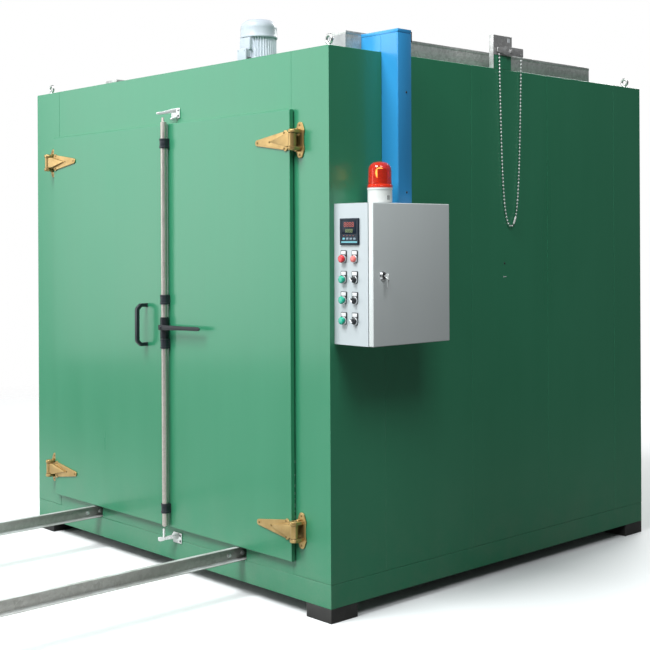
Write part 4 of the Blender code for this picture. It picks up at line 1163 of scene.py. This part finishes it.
def makeSelector(row, x, z, face, bore, tall):
    stem = bore - 0.0005
    deck = tall + 0.004
    mesh = spun([(0, 0.001), (stem, 0.001), (stem, deck - 0.0012), (stem - 0.0012, deck), (0, deck)], 36)
    grip = bmesh.new()
    outline = arcPoints((0, stem * 0.92 - 0.0042), 0.0042, 0, 180, 8)
    outline += arcPoints((0, -stem * 0.92 + 0.003), 0.0034, 180, 360, 8)
    for vert in liftFlat(grip, [(a, b, deck - 0.001) for a, b in outline]):
        vert.co = Vector((vert.co.x * 0.72, vert.co.y * 0.93, deck + 0.0118))
    roundEdges(turnOut(grip), 0.0009, 2, 50)
    addInto(mesh, grip)
    turn = Matrix.Rotation(math.radians(90), 4, "X") @ Matrix.Rotation(math.radians(45), 4, "Z")
    turn = Matrix.Translation((x, face, z)) @ turn
    makePiece(f"selectorKnob{row}", carry(mesh, turn), "blackPlastic", "black_plastic", f"selector_{row}",
            body=f"knob_{row}")
    mark = slab((-0.0019, -stem * 0.7, deck + 0.0108), (0.0019, stem * 0.8, deck + 0.0121), 0.0003, 1)
    makePiece(f"selectorMark{row}", carry(mark, turn), "satinRing", "white_plastic", body=f"knob_{row}")


controller = {
    "low": (halfWidth + 0.036, boxTop - 0.15),
    "side": 0.096,
    "depth": 0.0065,
    "rows": ((0.066, 0.015, "888.8", "redDigit"), (0.0455, 0.011, "888.8", "greenDigit")),
    "keys": 4,
    "digit": (0.55, 0.11, 1.62),    # width and bar by its height, pitch by its width
}
segmentsOf = {"0": "abcdef", "1": "bc", "2": "abged", "3": "abgcd", "4": "fgbc", "5": "afgcd", "6": "afgedc",
        "7": "abc", "8": "abcdefg", "9": "abcdfg"}


def digitMesh(text, x, y, z, tall):
    mesh = bmesh.new()
    width, bar, pitch = controller["digit"]
    wide, bar = tall * width, tall * bar
    for letter in text:
        if letter == ".":
            addInto(mesh, slab((x - bar * 1.1, y - 0.0004, z), (x - bar * 0.1, y, z + bar)))
            continue
        ends = {"a": (0, tall, wide, tall), "b": (wide, tall / 2, wide, tall), "c": (wide, 0, wide, tall / 2),
                "d": (0, 0, wide, 0), "e": (0, 0, 0, tall / 2), "f": (0, tall / 2, 0, tall),
                "g": (0, tall / 2, wide, tall / 2)}
        for segment in segmentsOf[letter]:
            x0, z0, x1, z1 = ends[segment]
            if z0 == z1:
                low, high = (x0 + bar * 0.65, z0 - bar / 2), (x1 - bar * 0.65, z0 + bar / 2)
            else:
                low, high = (x0 - bar / 2, z0 + bar * 0.65), (x0 + bar / 2, z1 - bar * 0.65)
            addInto(mesh, slab((x + low[0], y - 0.0004, z + low[1]), (x + high[0], y, z + high[1])))
        x += wide * pitch
    return mesh


def makeController():
    x0, z0 = controller["low"]
    side, deep = controller["side"], controller["depth"]
    back = boxFront - seat
    front = back - deep
    mesh = slab((x0, front, z0), (x0 + side, back, z0 + side))
    roundEdges(mesh, 0.0022, 3, edges=[e for e in mesh.edges if all(v.co.y < front + 0.0001 for v in e.verts)
            or abs(e.verts[0].co.y - e.verts[1].co.y) > 0.005])
    mesh.normal_update()
    face = [f for f in mesh.faces if f.normal.y < -0.99 and f.calc_area() > 0.004]
    bmesh.ops.inset_region(mesh, faces=face, thickness=0.0035, depth=0, use_even_offset=True)
    bmesh.ops.inset_region(mesh, faces=face, thickness=0.0012, depth=-0.0018, use_even_offset=True)
    makePiece("controllerCase", mesh, "controllerCase", "black_plastic", "temperature_controller")
    deck = front + 0.0018
    window = slab((x0 + 0.012, deck - 0.0007, z0 + 0.04),
            (x0 + side - 0.012, deck + 0.0005, z0 + side - 0.0085), 0.0004, 2)
    makePiece("controllerWindow", window, "displayGlass", "black_plastic")
    for height, tall, text, colour in controller["rows"]:
        width, bar, pitch = controller["digit"]
        left = x0 + side / 2 - tall * width * pitch * 1.85
        makePiece(f"{colour}s", digitMesh(text, left, deck - 0.0007, z0 + height, tall), colour,
                "black_plastic", smooth=0)
    lamps = bmesh.new()
    for number in range(4):
        x = x0 + 0.02 + number * 0.0165
        addInto(lamps, faceTo(spun([(0, 0), (0.0013, 0), (0.0013, 0.0003), (0.0008, 0.0007), (0, 0.0008)],
                12), (x, deck - 0.0001, z0 + 0.0335), toFront))
    makePiece("controllerLamps", lamps, "redDigit", "black_plastic")
    keys = bmesh.new()
    for number in range(controller["keys"]):
        x = x0 + 0.0205 + number * 0.0183
        outline = roundedCorners(rectangle((x - 0.006, z0 + 0.0185), (x + 0.006, z0 + 0.0262)), 0.003, 5)
        button = pushed(outline, "Y", deck + 0.0002, deck - 0.0011, 0.0005, 2)
        if number:
            addInto(keys, button)
        else:
            makePiece("controllerSetKey", button, "cyanFilm", "white_plastic")
    makePiece("controllerKeys", keys, "keyRubber", "white_plastic")
    strip = slab((x0 + 0.0065, deck - 0.0004, z0 + 0.0078), (x0 + side - 0.0065, deck + 0.0003, z0 + 0.0132),
            0.0003, 1)
    makePiece("controllerStrip", strip, "cyanFilm", "black_plastic")


def makeControlBox():
    makeShell()
    makeBoxDoor()
    makeOperators()
    makeController()
    print("control box done")


# beacon

beacon = {
    "x": halfWidth + 0.1,
    "y": boxFront + 0.137,
    "radius": 0.046,
    "base": 0.058,
    "dome": 0.094,
    "wall": 0.0022,
    "flutes": 36,
    "crown": 0.03,
    "slots": -6,    # degrees, where the base's vents start
    "mirrorTurn": 95,
}


def makeBeacon():
    low = boxTop + seat
    radius, base = beacon["radius"], beacon["base"]
    place = (beacon["x"], beacon["y"], low)
    mesh = spun([(0, 0), (radius - 0.006, 0), (radius - 0.006, 0.003), (radius - 0.001, 0.004),
            (radius - 0.001, base - 0.01), (radius - 0.0022, base - 0.0094), (radius - 0.0022, base - 0.0086),
            (radius + 0.0006, base - 0.0078), (radius + 0.0006, base - 0.001), (radius - 0.001, base),
            (0, base)], 64)
    makePiece("beaconBase", faceTo(mesh, place), "whitePlastic", "white_plastic", "beacon_base")
    slots = bmesh.new()
    for step in range(2):
        way = math.radians(beacon["slots"] + 8 * step)
        slot = slab((-0.0017, -0.001, -0.008), (0.0017, 0.0004, 0.008), 0.0004, 1)
        out = Vector((math.cos(way), math.sin(way), 0)) * (radius - 0.001)
        stand = Matrix.Translation(Vector(place) + out + Vector((0, 0, 0.021)))
        addInto(slots, carry(slot, stand @ Matrix.Rotation(way - math.pi / 2, 4, "Z")))
    makePiece("beaconVents", slots, "rubber", "black_plastic")

    lens = (beacon["x"], beacon["y"], low + (base + seat))
    outer = radius - 0.0025
    wall = beacon["wall"]
    crown = beacon["crown"]
    top = beacon["dome"]
    outside = [(radius + 0.001, 0), (radius + 0.002, 0.001), (radius + 0.002, 0.0075),
            (radius + 0.001, 0.009), (outer + 0.001, 0.0105), (outer, 0.014)]
    bend = (outer - crown - 0.0015, top - crown)
    outside += arcPoints(bend, crown, 4, 90, 12) + [(0, top)]
    inside = [(0, top - wall)] + arcPoints(bend, crown - wall, 90, 4, 12)
    inside += [(outer - wall, 0.014), (outer - wall, 0), (radius + 0.001, 0)]
    dome = spun(outside + inside, beacon["flutes"] * 2)
    for vert in dome.verts:
        reach = vert.co.xy.length
        if outer - 0.0065 < reach < outer - wall + 0.0003 and 0.013 < vert.co.z < top - crown + 0.004:
            step = round(math.atan2(vert.co.y, vert.co.x) / (math.tau / beacon["flutes"] / 2))
            if step % 2:
                vert.co.xy *= (reach - 0.0012) / reach
    makePiece("beaconDome", faceTo(dome, lens), "redDome", "red_lens", "beacon_dome")

    # painted glow: this ring lights the foot of the dome
    ring = spun([(outer - wall - 0.002, 0.0004), (outer - wall - 0.0002, 0.0004),
            (outer - wall - 0.0002, 0.012), (outer - wall - 0.002, 0.012), (outer - wall - 0.002, 0.0004)],
            48)
    makePiece("beaconGlowRing", faceTo(ring, lens), "redGlow", "red_lens")
    core = spun([(0, 0), (0.03, 0), (0.03, 0.004), (0.016, 0.006), (0.014, 0.016), (0.0085, 0.018),
            (0.0085, 0.034), (0, 0.034)], 32)
    makePiece("beaconSocket", faceTo(core, Vector(lens) + Vector((0, 0, 0.0006))), "chrome", "white_plastic")
    # painted glint: the glowing bulb stands in for the yellow glint in the dome
    bulb = spun([(0, 0.034), (0.0105, 0.036), (0.0155, 0.046), (0.017, 0.056), (0.0145, 0.066),
            (0.0085, 0.072), (0, 0.074)], 28)
    makePiece("beaconBulb", faceTo(bulb, lens), "amberBulb", "red_lens")
    mirror = bmesh.new()  # half-round reflector that turns round the bulb
    arc = arcPoints((0, 0), 0.027, 20, 160, 14)
    lower = [mirror.verts.new((x, y, 0.014)) for x, y in arc]
    upper = [mirror.verts.new((x * 1.02, y * 1.02, 0.068)) for x, y in arc]
    edges = [mirror.edges.new(pair) for line in (lower, upper) for pair in zip(line, line[1:])]
    bmesh.ops.bridge_loops(mirror, edges=edges)
    bmesh.ops.solidify(mirror, geom=mirror.faces[:], thickness=0.0012)
    faceTo(mirror, lens, turn=beacon["mirrorTurn"])
    makePiece("beaconMirror", mirror, "amberMirror", "white_plastic")
    print("beacon done")


# duct and trunking

trunkTop = roofTop + 0.087
# drop: below the trunking's top
duct = {"back": 0.271, "width": 0.072, "reach": 0.088, "lid": 0.013, "drop": 0.008}


def makeDuct():
    inner = trunk["outer"] + seat
    outer = halfWidth + duct["reach"]
    low, high = duct["back"], duct["back"] + duct["width"]
    top = trunkTop - duct["drop"]
    lidLow = top - duct["lid"]
    outline = [(halfWidth + seat, boxTop + seat), (outer - 0.0015, boxTop + seat),
            (outer - 0.0015, top - 0.002), (inner, top - 0.002), (inner, roofTop + seat),
            (halfWidth + seat, roofTop + seat)]
    mesh = pushed(outline, "Y", low + 0.0008, high - 0.0008, 0.0012, 2)
    addInto(mesh, slab((outer - 0.003, low, boxTop + 0.001), (outer, high, lidLow - 0.0012), 0.0012, 2))
    addInto(mesh, slab((inner, low - 0.0006, lidLow), (outer + 0.0004, high + 0.0006, top), 0.0014, 2))
    for x0, x1 in ((inner + 0.001, halfWidth - 0.001), (halfWidth + 0.0015, outer - 0.004)):
        bottom = roofTop + 0.002 if x1 < halfWidth else boxTop + 0.001
        addInto(mesh, slab((x0, low - 0.0002, bottom), (x1, low + 0.002, lidLow - 0.0012), 0.0008, 1))
    makePiece("cableDuct", mesh, "ductPaint", "blue_paint", "cable_duct")
    screws = bmesh.new()
    for height in (boxTop + 0.045, boxTop + 0.42):
        addInto(screws, screw((outer, low + duct["width"] * 0.62, height), toRight, 0.0042, 0.0018, 10))
    makePiece("ductScrews", screws, "darkSteel", "blue_paint")
    # painted shade: a black strip stands in for the shade at the back end of the duct's top
    strip = slab((outer - 0.001, high - 0.0005, top - 0.046), (outer + 0.0006, high + 0.0045, top - 0.006),
            0.0006, 1)
    makePiece("ductEndShadeStrip", strip, "rubber", "black_plastic")


trunk = {
    "inner": halfWidth - 0.205,
    "outer": halfWidth - 0.108,
    "front": {"right": 0.19, "left": 0.32},
    "back": 1.767,
    "lid": 0.012,
    "lidLength": 0.6,
}


def makeTrunk(name, side):
    front, back = trunk["front"][name], trunk["back"]
    inner, outer = trunk["inner"], trunk["outer"]
    mesh = slab((inner + 0.001, front + 0.0008, roofTop + seat),
            (outer - 0.001, back - 0.0008, trunkTop - 0.0014), 0.0012, 2)
    start = front
    while start < back - 0.01:
        end = min(start + trunk["lidLength"], back)
        if back - end < 0.15:
            end = back
        addInto(mesh, slab((inner, start + 0.0005, trunkTop - trunk["lid"]), (outer, end - 0.0005, trunkTop),
                0.001, 2))
        start = end
    for y in (front + 0.03, (front + back) / 2, back - 0.03):
        for x, way in ((inner + 0.001, (-1, 0, 0)), (outer - 0.001, toRight)):
            addInto(mesh, screw((x, y, trunkTop - 0.03), way, 0.0036, 0.0009, 20))
    end = slab((inner + 0.0016, front + 0.0002, roofTop + 0.0008),
            (outer - 0.0016, front + 0.0016, trunkTop - trunk["lid"] - 0.0005), 0.0004, 1)
    # painted shade: the end face takes the darker copy of the zinc
    makePiece(f"{name}TrunkEnd", mirrorSide(end, side), "trunkEnd", "galvanised")
    makePiece(f"{name}Trunking", mirrorSide(mesh, side), "zinc", "galvanised", f"{name}_trunking")


def makeTrunks():
    makeDuct()
    makeTrunk("right", 1)
    makeTrunk("left", -1)
    print("duct and trunking done")


# damper gear

damper = {
    "plate": (0.935, 0.122, 0.14, 0.003, 0.023),    # start, width, height, sheet, lip
    "green": 0.058,                                 # height of the painted lower part
    "pivot": (1.036, 0.078),
    "arm": (0.072, 0.013, 0.036, 0.004, 0.006),     # reach, overhang, height, sheet, standoff
    "drop": 0.733,
    "pitch": 0.0147,
    "wire": 0.0005,
    "bead": 0.004,
}


def makeDamper():
    start, width, tall, sheet, lip = damper["plate"]
    back = start + width
    low = roofTop + seat
    high = low + tall
    split = low + damper["green"]
    face = halfWidth
    mesh = pushed(rectangle((start + sheet, split), (back, high)), "X", face - sheet, face, 0.0005, 1)
    addInto(mesh, slab((face - lip, start, low), (face, start + sheet, high), 0.0008, 2))
    addInto(mesh, slab((face - 0.04, start + sheet, low), (face - 0.006, back, low + sheet), 0.0006, 1))
    for y in (start + 0.03, back - 0.03):
        addInto(mesh, hexBolt((face - 0.024, y, low + sheet), (0, 0, 1), 0.011, 0.005, 0.009))
    makePiece("damperPlate", mesh, "zinc", "galvanised", "damper_bracket")
    lower = slab((face - 0.0045, start + sheet, low + 0.0005), (face - 0.0008, back - 0.032, split + 0.004),
            0.0006, 1)
    addInto(lower, slab((face - 0.0075, back - 0.034, low + 0.0005),
            (face - 0.0038, back - 0.001, split + 0.004), 0.0006, 1))
    makePiece("damperPost", lower, "enamel", "green_paint")
    bolts = bmesh.new()
    addInto(bolts, hexBolt((face, back - 0.013, split + 0.026), toRight, 0.01, 0.004, 0.007))
    makePiece("damperBolt", bolts, "bolt", "galvanised")
    patch = slab((face - 0.0002, back - 0.03, high - 0.026), (face + 0.0006, back - 0.014, high - 0.008),
            0.0002, 1)
    makePiece("damperTag", patch, "labelCard", "white_plastic")

    pivot, up = damper["pivot"]
    reach, extra, armTall, armSheet, standoff = damper["arm"]
    z = roofTop + up
    x = face + standoff
    end = reach + extra
    outline = roundedCorners([(pivot - end, z - armTall * 0.25), (pivot - 0.03, z - armTall / 2),
            (pivot + end, z - armTall / 2), (pivot + end, z + armTall / 2), (pivot - 0.03, z + armTall / 2),
            (pivot - end, z + armTall * 0.25)], 0.004, 3)
    lever = pushed(outline, "X", x, x + armSheet, 0.0005, 2)
    addInto(lever, faceTo(spun([(0, 0), (0.009, 0), (0.009, 0.0015), (0.007, 0.002), (0.007, standoff),
            (0, standoff)], 24), (face + seat, pivot, z), toRight))
    addInto(lever, hexBolt((x + armSheet, pivot, z), toRight, 0.013, 0.005, 0.009))
    for sign in (-1, 1):
        addInto(lever, faceTo(spun([(0.0022, 0), (0.0048, 0), (0.0048, 0.001), (0.003, 0.0014),
                (0.0022, 0.001), (0.0022, 0)], 18), (x + armSheet - 0.0002, pivot + sign * reach, z - 0.008),
                toRight))
    makePiece("damperLever", lever, "zinc", "galvanised", "damper_lever")
    makeChain(x + armSheet / 2, pivot, reach, z - armTall / 2 - 0.001, z - damper["drop"])
    print("damper done")


def chainPath(middle, reach, top, bottom):
    drop = top - bottom
    low, high = 1e-4, 1.0
    for _ in range(80):
        size = (low + high) / 2
        if size * (math.cosh(min(reach / size, 600)) - 1) > drop:
            low = size
        else:
            high = size
    half = high * math.sinh(reach / high)
    count = int(2 * half / damper["pitch"])
    places = []
    for number in range(count + 1):
        along = -half + 2 * half * number / count
        y = high * math.asinh(along / high)
        places.append((middle + y, bottom + high * (math.cosh(y / high) - 1)))
    return places


def makeChain(x, middle, reach, top, bottom):
    places = chainPath(middle, reach, top, bottom)
    bead, wire = damper["bead"], damper["wire"]
    chain = bmesh.new()
    for first, second in zip(places, places[1:]):
        start, end = Vector((x, *first)), Vector((x, *second))
        reach = (end - start).length - bead * 0.97
        ball = [(0, -bead)] + arcPoints((0, 0), bead, -90, 78, 8)[1:]
        addInto(chain, faceTo(spun(ball + [(wire, bead), (wire, reach), (0, reach)], 12), start, end - start))
    makePiece("damperChain", chain, "chainZinc", "galvanised", "damper_chain", clean=False)
    number = len(places) // 2 + 1
    start, end = Vector((x, *places[number])), Vector((x, *places[number + 2]))
    joiner = spun([(0, -0.001), (0.003, -0.0008), (0.0044, 0.0016), (0.0044, 0.013), (0.0036, 0.014),
            (0.0036, 0.016), (0.0044, 0.017), (0.0044, 0.0284), (0.003, 0.0308), (0, 0.031)], 16)
    makePiece("chainJoiner", faceTo(joiner, start, end - start), "whitePlastic", "white_plastic")


# fan motor

motor = {
    "y": 0.538,
    "radius": 0.083,
    "core": 0.068,
    "fins": 40,
    "flange": (0.105, 0.014),
    "body": 0.215,
    "cowl": 0.074,
    "box": (0.062, 0.028, 0.075, 0.077),    # width, reach, height, height above the roof
    "pad": 0.036,                           # half the width of the flat pad above the box
}


def makeMotor():
    y = motor["y"]
    low = roofTop + seat
    centre = Vector((0, y, low))
    radius, core = motor["radius"], motor["core"]
    outline = []
    step = math.tau / motor["fins"]
    for number in range(motor["fins"]):
        for part, reach in ((0.0, core), (0.16, core + 0.002), (0.24, radius - 0.0045),
                (0.32, radius - 0.003), (0.38, radius - 0.0045), (0.46, core + 0.002), (0.62, core)):
            angle = (number + part) * step
            outline.append((reach * math.cos(angle), y + reach * math.sin(angle)))
    case = pushed(outline, "Z", low + 0.022, low + motor["body"] + 0.002)
    flange, sheet = motor["flange"]
    addInto(case, faceTo(spun([(0, 0), (flange - 0.001, 0), (flange, 0.001), (flange, sheet - 0.0015),
            (flange - 0.0015, sheet), (core + 0.012, sheet + 0.001), (core + 0.006, sheet + 0.004),
            (core + 0.003, 0.0225), (0, 0.0225)], 64), centre))
    for number in range(4):
        angle = math.radians(45 + 90 * number)
        addInto(case, hexBolt(centre + Vector((0.093 * math.cos(angle), 0.093 * math.sin(angle), sheet)),
                (0, 0, 1), 0.013, 0.007, 0.011, 10 * number))
    makePiece("motorCase", case, "motorPaint", "motor_paint", "fan_motor", smooth=30)

    base, rise = motor["body"], motor["cowl"]
    shoulder = 0.04
    dome = arcPoints((radius - shoulder, base + rise - shoulder), shoulder, 0, 84, 8)
    profile = [(radius - 0.0022, base - 0.01), (radius + 0.0012, base - 0.01),
            (radius + 0.0018, base - 0.009), (radius + 0.0018, base - 0.003), (radius + 0.0008, base - 0.001),
            (radius, base + 0.0005)] + dome
    top = base + rise
    for ringNumber in range(4):
        reach = radius - shoulder - 0.001 - ringNumber * 0.009
        profile += [(reach, top - 0.0006), (reach - 0.0008, top - 0.0032), (reach - 0.0042, top - 0.0032),
                (reach - 0.005, top - 0.0002)]
    profile += [(0.006, top), (0, top)]
    profile += [(0, top - 0.006), (radius - shoulder, top - 0.006),
            (radius - 0.0022, base + rise - shoulder - 0.002), (radius - 0.0022, base - 0.01)]
    cowl = faceTo(spun(profile, 64), centre)
    for number in range(4):
        angle = math.radians(20 + 90 * number)
        way = Vector((math.cos(angle), math.sin(angle), 0))
        addInto(cowl, screw(centre + way * (radius - 0.001) + Vector((0, 0, base + 0.01)), way, 0.004, 0.001,
                15))
    # painted shade: the cowl takes the darker copy of the motor's paint
    makePiece("motorCowl", cowl, "cowlPaint", "motor_paint")

    wide, reach, tall, up = motor["box"]
    front = y - radius - reach + 0.008
    floor = roofTop + up
    box = slab((-wide / 2 + 0.003, front + 0.009, floor + 0.002),
            (wide / 2 - 0.003, y - core + 0.004, floor + tall - 0.002), 0.004, 3)
    addInto(box, slab((-wide / 2, front, floor), (wide / 2, front + 0.011, floor + tall), 0.0045, 4))
    for x in (-wide / 2 + 0.009, wide / 2 - 0.009):
        for z in (floor + 0.009, floor + tall - 0.009):
            addInto(box, screw((x, front, z), toFront, 0.0038, 0.0018, 30))
    pad = motor["pad"]
    addInto(box, slab((-pad, y - radius - 0.0005, floor + tall - 0.004),
            (pad, y - core + 0.004, low + base - 0.0115), 0.0035, 3))
    # painted shade: terminal box and pad take the darker copy of the motor's paint
    makePiece("motorBox", box, "cowlPaint", "motor_paint")
    gland = spun([(0, 0), (0.011, 0), (0.011, 0.006), (0.0095, 0.0065), (0.0095, 0.013), (0.007, 0.018),
            (0.0045, 0.0185), (0.0045, 0.012), (0, 0.012)], 24)
    faceTo(gland, (wide / 2 - 0.0035, front + 0.021, floor + 0.024), toRight)
    makePiece("motorGland", gland, "blackPlastic", "black_plastic")
    print("motor done")


# lifting eyes, door seals and small marks

doorMeeting = 0.027             # from the middle of the housing to the slot between the doors
leafEdge = halfWidth - 0.195    # outer edge of the doors' plugs
eyeInset = 0.05


def makeEye(side, row):
    y = eyeInset if row == "front" else depth - eyeInset
    place = Vector((side * (halfWidth - eyeInset), y, roofTop + seat))
    mesh = spun([(0, 0), (0.013, 0), (0.0135, 0.001), (0.013, 0.004), (0.009, 0.0065), (0.0075, 0.01),
            (0.007, 0.016), (0, 0.016)], 28)
    faceTo(mesh, place)
    loop = bmesh.new()
    bmesh.ops.create_circle(loop, segments=14, radius=0.0058,
            matrix=Matrix.Translation((0.015, 0, 0)) @ Matrix.Rotation(math.radians(90), 4, "X"))
    turned(loop, loop.verts[:] + loop.edges[:], 32)
    addInto(mesh, faceTo(loop, place + Vector((0, 0, 0.031)), (0, 1, 0)))
    return mesh


def makeSmallParts():
    for side, name in ((-1, "left"), (1, "right")):
        for row in ("front", "back"):
            makePiece(f"liftingEye{row.title()}{name.title()}", makeEye(side, row), "bolt", "galvanised",
                    f"lifting_eye_{row}_{name}")
        seal = bmesh.new()
        inner = side * doorMeeting + 0.006
        low, high = railTop + 0.0135, doorTop - 0.0045
        strips = (((leafEdge - 0.009, low), (leafEdge, high)),
                ((inner, high - 0.009), (leafEdge - 0.009, high)))
        for (x0, z0), (x1, z1) in strips:
            addInto(seal, slab((x0, -0.0036, z0), (x1, -0.0004, z1), 0.001, 2))
        makePiece(f"{name}DoorSeal", mirrorSide(seal, side), "rubber", "black_plastic", body=f"{name}_door")
    bits = bmesh.new()  # pale bits of torn seal show in the right leaf's slot
    for z, tall in ((0.352, 0.012), (0.376, 0.008), (0.394, 0.015), (0.423, 0.006), (0.441, 0.011),
            (0.47, 0.009), (0.512, 0.007), (0.56, 0.01)):
        addInto(bits, slab((leafEdge - 0.004, -0.0032, z), (leafEdge + 0.0012, -0.0008, z + tall), 0.0006, 1))
    makePiece("tornSeal", bits, "labelCard", "white_plastic", body="right_door")
    mark = spun([(0, 0), (0.0045, 0), (0.004, 0.0012), (0, 0.0018)], 16)
    makePiece("wallPlug", faceTo(mark, (halfWidth, 1.001, 1.292), toRight), "darkSteel", "green_paint")
    scrape = slab((halfWidth - 0.0002, 0.992, 1.2345), (halfWidth + 0.0005, 1.013, 1.2375), 0.0002, 1)
    makePiece("wallDash", scrape, "labelCard", "green_paint")
    print("small parts done")


setCamera()
setLights()
dressNodes()
makeHinges()
makeLock()
makeHandle()
makeRails()
makeControlBox()
makeBeacon()
makeTrunks()
makeDamper()
makeMotor()
makeSmallParts()
